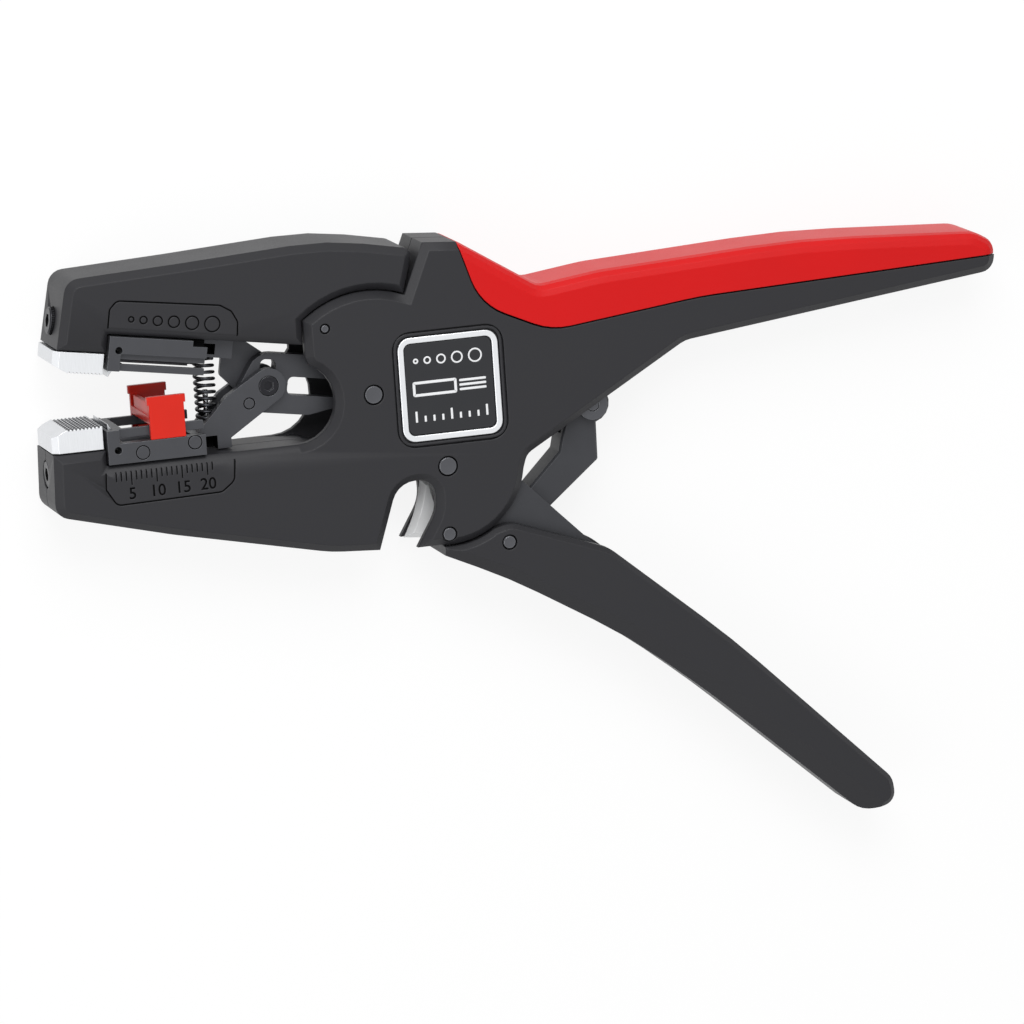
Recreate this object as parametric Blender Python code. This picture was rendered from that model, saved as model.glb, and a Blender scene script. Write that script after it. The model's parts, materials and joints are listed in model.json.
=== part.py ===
"""Automatic wire stripper with a pull-back blade carriage, a length stop and a wire cutter.

The tool lies on its back side. X runs from the jaws to the handle ends, Y from the lower jaw
to the upper jaw, and Z through the thickness. All sizes below are in millimetres, and the
helpers turn them into metres. Places are measured from the jaw pivot, with z = 0 on the back
side. Pieces that swing with the upper jaw are given in the closed position and hang under an
empty that is turned by JAW_OPEN.
"""

import math

import bmesh
import bpy
from mathutils import Vector

MM = 0.001

# Driving sizes
WIDTH = 18.0            # thickness of housing, jaws and lever
CHEEK = 3.0             # side wall of the housing and of the upper jaw
WALL = 2.2              # rim wall of the housing and of the upper jaw
CHAMFER = 1.5           # edge between side and rim
GRIP_ROUND = 2.4        # edge radius of the soft grip
GAP = 0.3               # clearance between neighbours
PIN_GAP = 0.15          # clearance round a pin
JAW_TIP = 64.6          # jaw pivot to the front of the jaws
HANDLE_END = 130.4      # jaw pivot to the end of the upper handle
JAW_OPEN = 9.3          # degrees between the jaws at rest

# Pivots, as x and y from the jaw pivot
LEVER_PIVOT = (14.0, -15.8)
CUTTER_PIVOT = (13.4, -29.4)
STRUT_PIVOT = (25.5, -32.4)
STOP_PIN = (-8.9, 14.1)
TONGS_REACH = 20.1      # jaw pivot to the tongs pivot, along the pull rod
CROSSHEAD_REACH = 45.9  # jaw pivot to the crosshead pin, along the pull rod
ROD_TRAVEL = 13.0       # how far the pull rod is drawn back
TONGS_LIFT = 3.4        # how far the tongs pin rises in the rod as the rod levels out
CROSSHEAD_PLAY = 1.4    # run of the crosshead pin in the rod's rear slot

# Pin radii
PIVOT_HEAD = 1.9
PIVOT_SHAFT = 1.5
SMALL_HEAD = 1.4
SMALL_SHAFT = 1.15
STOP_PIN_RADIUS = 0.9
TONGS_HEAD = 1.9
TONGS_SHAFT = 1.3

# Layers inside the housing, back to front
EAR = 1.5               # ear of the upper jaw at the jaw pivot
FAR_ARM = 1.3           # far arm of the lower blade holder
UPPER_ARM = 1.2         # arm of the upper blade holder
ROD = 2.6               # pull rod
CORE_WALL = 1.8         # side wall of the lever core
STRUT_SIDE = CHEEK + GAP + CORE_WALL + GAP
EAR_LOW = CHEEK + GAP
FAR_ARM_LOW = EAR_LOW + EAR + GAP
UPPER_ARM_LOW = FAR_ARM_LOW + FAR_ARM + GAP
ROD_LOW = UPPER_ARM_LOW + UPPER_ARM + GAP
NEAR_ARM_LOW = ROD_LOW + ROD + GAP
NEAR_ARM_HIGH = WIDTH - EAR_LOW - EAR - GAP

# Housing
NOSE_RADIUS = 15.9      # rim of the housing round the lever pivot
JAW_ARC = 20.5          # rim of the housing round the jaw pivot
FRONT_MOUTH = (-15.6, -0.3)     # centre of the round opening in the front cheek
BACK_MOUTH = (-17.3, -0.3)      # and in the back cheek
MOUTH_RADIUS = 8.1
LOWER_EDGE = 8.4        # jaw axis to the edge that the lower blade holder slides on
LOWER_SEAT = 5.3        # jaw axis to the seat of the lower gripping jaw
TONGUE_INSET = 3.0      # cover of the soft grip over the tongue inside it
CHEEK_EDGE = -12.9      # straight front edge of the housing's cheek below the arc
HUMP_ANGLE = 67.2       # where the rim round the jaw pivot meets the hump, in degrees
CHEEK_ANGLE = 127.0     # where that rim meets the front edge of the cheek, in degrees
HUMP_CORNER = (12.2, 28.9)

# Upper jaw, in the closed position
UPPER_EDGE = 8.9        # jaw axis to the edge that the upper blade holder slides on
UPPER_SEAT = 5.2        # jaw axis to the seat of the upper gripping jaw
EAR_RADIUS = 4.2
REAR_ANGLE = 77.6       # where the upper jaw's lower rim ends at its rear, in degrees
REAR_CORNER = (5.5, 29.2)

# Gripping jaws
STEEL_LENGTH = 10.4
STEEL_WIDTH = 15.0
STEEL_CHAMFER = 1.2
LOWER_BITE = 0.5        # jaw axis down to the biting face of the lower gripping jaw
UPPER_BITE = 0.8        # jaw axis up to the biting face of the upper gripping jaw
TANG_LENGTH = 4.2
TANG_WIDTH = 6.0
TANG_DROP = 7.4
SCREW_HEAD = 2.7
SCREW_HEAD_DEPTH = 1.5
SCREW_SHAFT = 1.25
SCREW_LENGTH = 8.0
SCREW_OFFSET = 10.0     # jaw axis to the screw

# Blade holders
HOLDER_LENGTH = 19.6
HOLDER_TAIL = 6.2
TAIL_HEIGHT = 3.6
HOLDER_FRONT = 3.4      # solid block at a holder's front
HOLDER_WALL = 2.2
HOLDER_INNER = 1.4      # jaw axis to the inner edge of the lower holder's side walls
UPPER_INNER = 1.8       # and of the upper holder's side walls
HOLDER_WEB = 1.5
HOLDER_RAIL = 1.75      # height of the rail above the stop's slot
SLOT_HEIGHT = 0.95
RAIL_RECESS = 1.3
BLADE = 0.8
BLADE_REACH = 0.35      # gap of a blade's edge from the jaw axis
STOP_LENGTH = 7.0
STOP_PLACE = 8.7        # front of a holder to the front of the length stop
STOP_HEIGHT = 4.4
STOP_HEAD = 1.6
STOP_LIP = 0.35         # overhang of the head over the ear
STOP_WALL = 1.3
STOP_FENCE = 2.8        # jaw axis to the top of the fence between the ears
ARM_EYE = 3.5
BITE_DIP = 0.6          # how far the upper holder's front dips at full stroke

# Lever
LEVER_CLEARANCE = 0.4   # between the housing's nose and the lever
LEVER_FLOOR = 3.8       # lower edge of the lever to the floor of its channel
LEVER_EDGE = 1.0
BEVEL_START = 2.0       # height of the lever's bevel at the pivot end
BEVEL_END = 4.2         # height of the lever's bevel at the free end
BEVEL_SLOPE = 0.8       # depth of the bevel over its height
LEVER_END = (95.8, -96.2)
CORE_EYE = 4.4
STRUT_EYE = 2.4
BOSS_RADIUS = 4.0
ROLLER_RADIUS = 3.0
FORK_DEPTH = 1.6        # run of the strut's fork past its boss

# Cutter
CUTTER_THICKNESS = 2.4
CUTTER_EYE = 2.1

# Coil springs
SPRING_WIRE = 0.5
SPRING_RADIUS = 2.0
SPRING_TURNS = 9
SPRING_STEP = 0.5       # rear of a holder to the coil spring
TORSION_WIRE = 0.9
TORSION_RADIUS = 2.9
TORSION_TURNS = 5
COIL_STEPS = 12         # straight runs in one turn of a coil
GUIDE_RADIUS = 0.55
GUIDE_LENGTH = 7.6

# Name plate field
PLATE_LOW = (4.2, -11.5)
PLATE_SIZE = (22.8, 23.2)
PLATE_DEPTH = 0.8
PLATE_RIM = 1.2
PLATE_FRAME = 1.2
PLATE_CORNER = 2.6

# Degrees from point to point on a round corner, and the radius from which it is finer
COARSE_STEP = 16.0
FINE_STEP = 8.0
WIDE_ARC = 7.0

PARTS = "automatic_wire_stripper"
CUTTERS = "cutters"


# Scene and materials

def clear_scene():
    """Remove every object of the scene."""
    for item in list(bpy.data.objects):
        bpy.data.objects.remove(item, do_unlink=True)


def collection(name):
    """Return the named collection, linked to the scene."""
    found = bpy.data.collections.get(name)
    if found is None:
        found = bpy.data.collections.new(name)
        bpy.context.scene.collection.children.link(found)
    return found


def material(name, colour, roughness, metallic=0.0):
    """Return a Principled material of one colour."""
    made = bpy.data.materials.new(name)
    made.use_nodes = True
    shader = made.node_tree.nodes["Principled BSDF"]
    shader.inputs["Base Color"].default_value = (*colour, 1.0)
    shader.inputs["Roughness"].default_value = roughness
    shader.inputs["Metallic"].default_value = metallic
    return made


def black_plastic(name):
    """Charcoal glass-filled plastic of housing, jaw and lever."""
    return material(name, (0.05, 0.05, 0.056), 0.5)


def dark_steel(name):
    """Blackened steel of holders and link."""
    return material(name, (0.11, 0.115, 0.12), 0.4, 0.7)


def bright_steel(name):
    """Ground steel of jaws, blades and pins."""
    return material(name, (0.72, 0.73, 0.74), 0.25, 1.0)


def red_plastic(name):
    """Red plastic of the soft grip and the length stop."""
    return material(name, (0.68, 0.03, 0.02), 0.45)


# Outlines

def arc(centre, radius, start, end, steps):
    """Points on an arc from start to end degrees."""
    turn = (end - start) / steps
    angles = [math.radians(start + turn * k) for k in range(steps + 1)]
    return [(centre[0] + radius * math.cos(a), centre[1] + radius * math.sin(a)) for a in angles]


def corner(before, point, after, radius):
    """Points that round one corner of an outline."""
    here = Vector(point)
    back = Vector(before) - here
    ahead = Vector(after) - here
    opening = back.angle(ahead)
    reach = radius / math.tan(opening / 2)
    reach = min(reach, 0.49 * back.length, 0.49 * ahead.length)
    radius = reach * math.tan(opening / 2)
    centre = here + (back.normalized() + ahead.normalized()).normalized() * (radius / math.sin(opening / 2))
    first = here + back.normalized() * reach - centre
    last = here + ahead.normalized() * reach - centre
    turn = -first.angle_signed(last)
    step = COARSE_STEP if radius < WIDE_ARC else FINE_STEP
    steps = max(2, math.ceil(abs(turn) / math.radians(step)))
    made = []
    for k in range(steps + 1):
        angle = turn * k / steps
        x = first.x * math.cos(angle) - first.y * math.sin(angle)
        y = first.x * math.sin(angle) + first.y * math.cos(angle)
        made.append((centre.x + x, centre.y + y))
    return made


def rounded(points):
    """Outline through points of two numbers, or of three where the third is a corner radius."""
    made = []
    for k, point in enumerate(points):
        if len(point) == 2:
            made.append(point)
            continue
        before = points[k - 1][:2]
        after = points[(k + 1) % len(points)][:2]
        made.extend(corner(before, point[:2], after, point[2]))
    return made


def beside(points, distance):
    """The points of a run, moved to the left of its direction by a distance."""
    made = []
    for k, point in enumerate(points):
        ahead = Vector(points[min(k + 1, len(points) - 1)][:2])
        behind = Vector(points[max(k - 1, 0)][:2])
        along = (ahead - behind).normalized()
        made.append((point[0] - along.y * distance, point[1] + along.x * distance))
    return made


def rectangle(x0, y0, x1, y1, radius=0.0):
    """A rectangular outline, with round corners where a radius is given."""
    corners = [(x0, y0), (x1, y0), (x1, y1), (x0, y1)]
    if radius:
        corners = rounded([(*point, radius) for point in corners])
    return corners


# Solids

def mesh_object(name, mesh):
    """Link a mesh as an object among the cutters until it is finished."""
    made = bpy.data.objects.new(name, mesh)
    collection(CUTTERS).objects.link(made)
    made.hide_render = True
    made.display_type = "WIRE"
    return made


def plate(name, points, low, high, edge=0.0, rings=0):
    """A flat outline between two heights, with its edges chamfered, or rounded by rings."""
    curve = bpy.data.curves.new(name, "CURVE")
    curve.dimensions = "2D"
    curve.fill_mode = "BOTH"
    spline = curve.splines.new("POLY")
    spline.points.add(len(points) - 1)
    for knot, point in zip(spline.points, points):
        knot.co = (point[0] * MM, point[1] * MM, 0.0, 1.0)
    spline.use_cyclic_u = True
    curve.extrude = ((high - low) / 2 - edge) * MM
    curve.bevel_depth = edge * MM
    curve.bevel_resolution = rings
    curve.offset = -edge * MM
    flat = bpy.data.objects.new(name, curve)
    bpy.context.scene.collection.objects.link(flat)
    bpy.context.view_layer.update()
    evaluated = flat.evaluated_get(bpy.context.evaluated_depsgraph_get())
    mesh = bpy.data.meshes.new_from_object(evaluated)
    bpy.data.objects.remove(flat, do_unlink=True)
    work = bmesh.new()
    work.from_mesh(mesh)
    bmesh.ops.remove_doubles(work, verts=work.verts, dist=0.001 * MM)
    bmesh.ops.translate(work, verts=work.verts, vec=(0.0, 0.0, (low + high) / 2 * MM))
    bmesh.ops.recalc_face_normals(work, faces=work.faces)
    work.to_mesh(mesh)
    work.free()
    return mesh_object(name, mesh)


def barrel(name, start, end, radius, sides=32, far_radius=None):
    """A cylinder or cone between two points."""
    first = Vector(start) * MM
    last = Vector(end) * MM
    axis = last - first
    work = bmesh.new()
    tip = radius if far_radius is None else far_radius
    bmesh.ops.create_cone(work, cap_ends=True, segments=sides, radius1=radius * MM, radius2=tip * MM,
                          depth=axis.length)
    turn = Vector((0.0, 0.0, 1.0)).rotation_difference(axis).to_matrix()
    bmesh.ops.rotate(work, verts=work.verts, cent=(0.0, 0.0, 0.0), matrix=turn)
    bmesh.ops.translate(work, verts=work.verts, vec=(first + last) / 2)
    mesh = bpy.data.meshes.new(name)
    work.to_mesh(mesh)
    work.free()
    return mesh_object(name, mesh)


def block(name, low, high):
    """A box between two corners."""
    work = bmesh.new()
    bmesh.ops.create_cube(work, size=1.0)
    size = [(high[k] - low[k]) * MM for k in range(3)]
    middle = [(high[k] + low[k]) / 2 * MM for k in range(3)]
    bmesh.ops.scale(work, verts=work.verts, vec=size)
    bmesh.ops.translate(work, verts=work.verts, vec=middle)
    mesh = bpy.data.meshes.new(name)
    work.to_mesh(mesh)
    work.free()
    return mesh_object(name, mesh)


def loft(name, sections):
    """A solid through sections with the same number of corners, each a list of points."""
    work = bmesh.new()
    loops = [[work.verts.new(Vector(point) * MM) for point in section] for section in sections]
    count = len(loops[0])
    for near, far in zip(loops, loops[1:]):
        for k in range(count):
            after = (k + 1) % count
            work.faces.new((near[k], near[after], far[after], far[k]))
    work.faces.new(loops[0])
    work.faces.new(loops[-1])
    bmesh.ops.recalc_face_normals(work, faces=work.faces)
    mesh = bpy.data.meshes.new(name)
    work.to_mesh(mesh)
    work.free()
    return mesh_object(name, mesh)


def coil(name, points, wire):
    """A round wire through points, as a mesh."""
    curve = bpy.data.curves.new(name, "CURVE")
    curve.dimensions = "3D"
    curve.bevel_depth = wire / 2 * MM
    curve.bevel_resolution = 2
    curve.use_fill_caps = True
    spline = curve.splines.new("POLY")
    spline.points.add(len(points) - 1)
    for knot, point in zip(spline.points, points):
        knot.co = (*(Vector(point) * MM), 1.0)
    made = bpy.data.objects.new(name, curve)
    collection(CUTTERS).objects.link(made)
    return made


def boolean(target, tool, operation):
    """Cut or join one solid with another, which then follows the target."""
    tool.parent = target
    modifier = target.modifiers.new(tool.name, "BOOLEAN")
    modifier.operation = operation
    modifier.solver = "EXACT"
    modifier.object = tool
    return target


def cut(target, *tools):
    """Take each tool away from the target."""
    for tool in tools:
        boolean(target, tool, "DIFFERENCE")
    return target


def join(target, *tools):
    """Add each tool to the target."""
    for tool in tools:
        boolean(target, tool, "UNION")
    return target


def keep(target, tool):
    """Keep only what the target shares with the tool."""
    return boolean(target, tool, "INTERSECT")


def finish(piece, axis, finish_material, smooth=False):
    """Move a finished piece to the parts, dress it and hang it on its axis."""
    collection(CUTTERS).objects.unlink(piece)
    collection(PARTS).objects.link(piece)
    piece.hide_render = False
    piece.display_type = "TEXTURED"
    piece.data.materials.clear()
    piece.data.materials.append(finish_material)
    if smooth:
        piece.data.shade_smooth()
        piece.data.set_sharp_from_angle(angle=math.radians(35))
    empty, place = axis
    piece.parent = empty
    piece.location = (-place[0] * MM, -place[1] * MM, 0.0)
    return piece


def axis_empty(name, parent, place, turn=0.0):
    """An empty on a joint's axis, and the place of that axis in its pieces' frame."""
    empty = bpy.data.objects.new(name, None)
    empty.empty_display_size = 5 * MM
    collection(PARTS).objects.link(empty)
    offset = (0.0, 0.0)
    if parent is not None:
        empty.parent = parent[0]
        offset = parent[1]
    empty.location = ((place[0] - offset[0]) * MM, (place[1] - offset[1]) * MM, 0.0)
    empty.rotation_euler = (0.0, 0.0, math.radians(turn))
    return empty, place


def stepped_pin(name, centre, head, shaft):
    """A pin across the tool, with a flush head in each cheek and a slimmer shaft between."""
    x, y = centre
    pin = barrel(name, (x, y, 0.05), (x, y, WIDTH - 0.05), shaft)
    for low, high in ((0.05, CHEEK), (WIDTH - CHEEK, WIDTH - 0.05)):
        pin = join(pin, barrel(name + "_head", (x, y, low), (x, y, high), head))
    return pin


def pin_bore(centre, radius):
    """The hole through everything for a pin of this radius."""
    x, y = centre
    return barrel("pin_bore", (x, y, -1.0), (x, y, WIDTH + 1.0), radius + PIN_GAP)


# Housing

def full_outline(mouth_centre=FRONT_MOUTH):
    """Side view of the housing with the soft grip on it."""
    nose = arc(LEVER_PIVOT, NOSE_RADIUS, -97, -8, 12)
    cheek = arc((0.0, 0.0), JAW_ARC, HUMP_ANGLE, CHEEK_ANGLE, 8)
    mouth = arc(mouth_centre, MOUTH_RADIUS, 66, -90, 11)
    corners = [(-JAW_TIP, -LOWER_SEAT), (-JAW_TIP - 0.5, -17.3, 3.0), (-42.0, -23.4, 60.0),
               (-10.5, -30.5, 30.0), (-0.6, -31.2), (3.9, -18.2, 5.0), (11.3, -18.2, 4.0),
               (11.6, -24.4, 8.0), (7.1, -31.6)]
    handle = [(30.6, -15.4, 3.0), (64.6, 3.8, 6.0), (HANDLE_END - 0.8, 11.1, 3.0),
              (HANDLE_END, 16.6, 3.0), (HANDLE_END - 4.2, 19.2, 7.0), (90.0, 21.5, 200.0),
              (48.0, 19.6, 30.0), (35.2, 18.0, 3.5), (19.4, 28.3, 2.6), HUMP_CORNER]
    ledge = [(CHEEK_EDGE, 8.6), *mouth, (-52.0, -LOWER_EDGE), (-JAW_TIP + STEEL_LENGTH, -LOWER_EDGE),
             (-JAW_TIP + STEEL_LENGTH, -LOWER_SEAT)]
    return rounded([*corners, *nose, *handle, *cheek, (CHEEK_EDGE, 16.0), *ledge])


def grip_line():
    """Lower border of the soft grip, from the hump to the handle's end."""
    return [(19.2, 30.5), (19.2, 27.6), (22.9, 15.6, 12.0), (37.0, 9.0, 14.0), (68.0, 12.5, 80.0),
            (HANDLE_END + 2.0, 14.6)]


def grip_zone(name, drop):
    """The region above the grip's lower border, moved down by drop."""
    border = [(x - drop * 0.5, y - drop, *more) for x, y, *more in grip_line()]
    border.extend([(HANDLE_END + 2.0, 40.0), (30.0, 40.0)])
    return plate(name, rounded(border), -1.0, WIDTH + 1.0)


def tongue(name, extra):
    """The rib of the housing that carries the soft grip, grown by extra on every side."""
    inset = TONGUE_INSET - extra
    points = [(24.6 - extra, 13.0), (25.6 - extra, 20.6 - inset + 1.2, 2.0), (35.4, 17.6 - inset, 4.0),
              (48.0, 19.4 - inset, 30.0), (90.0, 21.2 - inset, 200.0),
              (HANDLE_END - 5.0 + extra, 19.4 - inset, 2.0), (HANDLE_END - 4.4 + extra, 13.0),
              (68.0, 11.0), (37.0, 8.6), (30.0, 10.0)]
    low = CHEEK + 1.1 - extra
    return plate(name, rounded(points), low, WIDTH - low)


def works_cavity():
    """The hollow between the cheeks for jaw ears, pull rod, strut and lever."""
    lower = [(-20.0, -LOWER_EDGE), (-13.0, -LOWER_EDGE - 0.2), (-10.0, -9.6), (-2.0, -13.0), (4.0, -15.8),
             (6.2, -16.4), (6.2, -40.0), (24.0, -40.0), (44.0, -24.0), (66.5, -6.0)]
    upper = [(66.5, 9.4, 1.0), (48.0, 8.2, 30.0), (38.0, 6.6, 12.0), (20.6, 14.8, 10.0), (17.0, 25.8, 2.0),
             (13.9, 26.2, 1.0), (11.0, 18.0), (8.2, 18.6), (8.2, 21.0), (0.0, 23.5), (-13.2, 19.0),
             (-17.0, 16.0), (-18.0, 8.0)]
    return plate("works_cavity", rounded([*lower, *upper]), CHEEK, WIDTH - CHEEK)


def nose_cavity():
    """The hollow in the lower jaw, with the slot for the tang of the gripping jaw."""
    inner = -JAW_TIP + CHEEK
    rim = -LOWER_EDGE - WALL
    seat = -LOWER_SEAT - WALL
    points = [(inner, seat), (inner - 0.2, -15.6, 2.0), (-42.0, -20.8), (-9.0, -27.8), (-2.4, -28.4, 1.0),
              (0.6, -17.6, 1.0), (-3.0, -15.6), (-11.0, -12.0), (-16.0, rim), (-52.0, rim),
              (-52.0, seat - 3.0), (-55.0, seat)]
    return plate("nose_cavity", rounded(points), CHEEK, WIDTH - CHEEK)


def tang_slot(seat, side):
    """The slot in a jaw's rim that the tang of a gripping jaw goes through."""
    left = -JAW_TIP + CHEEK + 0.2
    deep = seat + WALL + 0.5
    reach = sorted((side * (seat - 0.5), side * deep))
    half = TANG_WIDTH / 2 + GAP
    return block("tang_slot", (left - GAP, reach[0], WIDTH / 2 - half),
                 (left + TANG_LENGTH + GAP, reach[1], WIDTH / 2 + half))


def screw_bore(side):
    """The counterbored hole in a jaw's front for its screw."""
    y = side * SCREW_OFFSET
    middle = WIDTH / 2
    hole = barrel("screw_bore", (-JAW_TIP - 2.0, y, middle), (-JAW_TIP + CHEEK + 1.0, y, middle),
                  SCREW_SHAFT + PIN_GAP)
    head = barrel("screw_seat", (-JAW_TIP - 2.0, y, middle), (-JAW_TIP + SCREW_HEAD_DEPTH, y, middle),
                  SCREW_HEAD + PIN_GAP)
    return [hole, head]


def housing_half(name, mouth_centre, low, high):
    """One half of the housing, between two heights."""
    half = plate(name, full_outline(mouth_centre), 0.0, WIDTH, CHAMFER)
    cut(half, grip_zone(name + "_grip_zone", GAP))
    join(half, tongue(name + "_tongue", 0.0))
    cut(half, works_cavity(), nose_cavity(), tang_slot(LOWER_SEAT, -1), *screw_bore(-1))
    cut(half, pin_bore((0.0, 0.0), PIVOT_HEAD), pin_bore(LEVER_PIVOT, PIVOT_HEAD))
    cut(half, pin_bore(CUTTER_PIVOT, SMALL_HEAD), pin_bore(STOP_PIN, STOP_PIN_RADIUS))
    cut(half, plate_recess())
    return keep(half, block(name + "_half", (-90.0, -50.0, low), (150.0, 50.0, high)))


def plate_recess():
    """The shallow recess for the name plate field in the front cheek."""
    x, y = PLATE_LOW
    outline = rectangle(x, y, x + PLATE_SIZE[0], y + PLATE_SIZE[1], PLATE_CORNER + PLATE_RIM)
    return plate("plate_recess", outline, WIDTH - PLATE_DEPTH, WIDTH + 1.0)


def build_housing(tool):
    """Both halves of the housing, the soft grip, the pins and the plate."""
    middle = WIDTH / 2
    back = housing_half("housing_back", BACK_MOUTH, -1.0, middle - GAP / 2)
    front = housing_half("housing_front", FRONT_MOUTH, middle + GAP / 2, WIDTH + 1.0)
    finish(back, tool, black_plastic("housing_back"))
    finish(front, tool, black_plastic("housing_front"))
    grip = plate("soft_grip", full_outline(), 0.0, WIDTH, GRIP_ROUND, 2)
    keep(grip, grip_zone("grip_keep", 0.0))
    cut(grip, tongue("grip_hollow", GAP))
    finish(grip, tool, red_plastic("soft_grip"), smooth=True)
    pins = (("jaw_pivot_pin", (0.0, 0.0), PIVOT_HEAD, PIVOT_SHAFT),
            ("lever_pivot_pin", LEVER_PIVOT, PIVOT_HEAD, PIVOT_SHAFT),
            ("cutter_pivot_pin", CUTTER_PIVOT, SMALL_HEAD, SMALL_SHAFT))
    for name, centre, head, shaft in pins:
        finish(stepped_pin(name, centre, head, shaft), tool, dark_steel(name), smooth=True)
    x, y = STOP_PIN
    anchor = barrel("spring_anchor_pin", (x, y, 0.05), (x, y, WIDTH - 0.05), STOP_PIN_RADIUS, 20)
    finish(anchor, tool, dark_steel("spring_anchor_pin"), smooth=True)
    build_plate(tool)


def build_plate(tool):
    """The bright frame and the dark field of the name plate, both without words."""
    x0 = PLATE_LOW[0] + PLATE_RIM
    y0 = PLATE_LOW[1] + PLATE_RIM
    x1 = PLATE_LOW[0] + PLATE_SIZE[0] - PLATE_RIM
    y1 = PLATE_LOW[1] + PLATE_SIZE[1] - PLATE_RIM
    floor = WIDTH - PLATE_DEPTH + PIN_GAP
    frame = plate("plate_frame", rectangle(x0, y0, x1, y1, PLATE_CORNER), floor, WIDTH - 0.05)
    hole = PLATE_FRAME
    inner = rectangle(x0 + hole, y0 + hole, x1 - hole, y1 - hole, PLATE_CORNER - hole)
    cut(frame, plate("plate_window", inner, floor - 1.0, WIDTH + 1.0))
    finish(frame, tool, bright_steel("plate_frame"))
    edge = PLATE_FRAME + PIN_GAP
    field = rectangle(x0 + edge, y0 + edge, x1 - edge, y1 - edge, PLATE_CORNER - hole)
    finish(plate("plate_field", field, floor, WIDTH - 0.3), tool, black_plastic("plate_field"))


# Gripping jaws and screws

def gripping_jaw(name, seat, bite, side):
    """A steel gripping jaw with its tang, on the lower side for side -1 and the upper for 1."""
    low = (WIDTH - STEEL_WIDTH) / 2
    front = -JAW_TIP
    back = front + STEEL_LENGTH - GAP
    points = [(front, side * (seat - GAP)), (front, side * (bite + 1.4)), (front + 3.0, side * bite),
              (back, side * bite), (back, side * (seat - GAP))]
    jaw = plate(name, points, low, low + STEEL_WIDTH)
    corner_cut = STEEL_CHAMFER * math.sqrt(2)
    for z in (low, low + STEEL_WIDTH):
        bar = loft("jaw_corner", [[(front - corner_cut, y, z), (front, y, z - STEEL_CHAMFER),
                                   (front + corner_cut - 0.5, y, z), (front, y, z + STEEL_CHAMFER)]
                                  for y in (-20.0, 20.0)])
        cut(jaw, bar)
    left = -JAW_TIP + CHEEK + 0.2
    reach = sorted((side * (seat - GAP - 1.0), side * (seat + TANG_DROP)))
    join(jaw, block(name + "_tang", (left, reach[0], WIDTH / 2 - TANG_WIDTH / 2),
                    (left + TANG_LENGTH, reach[1], WIDTH / 2 + TANG_WIDTH / 2)))
    y = side * SCREW_OFFSET
    cut(jaw, barrel("tang_bore", (left - 1.0, y, WIDTH / 2), (left + TANG_LENGTH + 1.0, y, WIDTH / 2),
                    SCREW_SHAFT + PIN_GAP))
    return jaw


def socket_screw(name, side):
    """A socket screw in the front of a jaw."""
    y = side * SCREW_OFFSET
    middle = WIDTH / 2
    start = -JAW_TIP - 0.1
    seat = -JAW_TIP + SCREW_HEAD_DEPTH - PIN_GAP
    screw = barrel(name, (start, y, middle), (seat, y, middle), SCREW_HEAD)
    end = start + SCREW_LENGTH
    join(screw, barrel(name + "_shaft", (seat - 0.5, y, middle), (end, y, middle), SCREW_SHAFT, 20))
    cut(screw, barrel(name + "_socket", (start - 1.0, y, middle), (start + 1.0, y, middle), 1.35, 6))
    return screw


# Upper jaw

def upper_outline():
    """Side view of the upper jaw, in the closed position."""
    rim = JAW_ARC + GAP
    rear = arc((0.0, 0.0), rim, REAR_ANGLE, 139, 9)
    top = [(*REAR_CORNER, 1.7), (-12.0, 29.8, 60.0), (-41.0, 23.5, 60.0), (-JAW_TIP + 1.2, 18.9, 3.2),
           (-JAW_TIP + 0.6, UPPER_SEAT)]
    step = -JAW_TIP + STEEL_LENGTH
    ledge = [(step, UPPER_SEAT), (step, UPPER_EDGE), (-15.0, UPPER_EDGE)]
    return rounded([*reversed(rear), *top, *ledge][::-1])


def upper_hollows():
    """The hollow of the upper jaw: wide for the holder in front, narrow between the ears."""
    inner = -JAW_TIP + CHEEK
    floor = UPPER_SEAT + WALL
    mouth = UPPER_EDGE - 3.0
    front = [(inner, floor), (inner, 16.2, 1.0), (-41.0, 20.9), (-24.0, 24.6), (-24.0, mouth),
             (-52.2, mouth), (-52.2, floor + 2.0), (-54.6, floor)]
    rear = [(-25.0, mouth), (-25.0, 24.2), (-12.0, 26.8), (1.6, 26.6, 1.0), (2.6, 10.0), (-15.0, 6.0)]
    low = EAR_LOW + EAR
    return [plate("front_hollow", rounded(front), CHEEK, WIDTH - CHEEK),
            plate("rear_hollow", rounded(rear), low, WIDTH - low)]


def jaw_ear(low):
    """One ear that carries the upper jaw on the jaw pivot pin."""
    eye = arc((0.0, 0.0), EAR_RADIUS, -150, 30, 10)
    top = arc((0.0, 0.0), JAW_ARC + 2.5, 84, 112, 6)
    return plate("jaw_ear", [*eye, *top], low, low + EAR)


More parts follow.
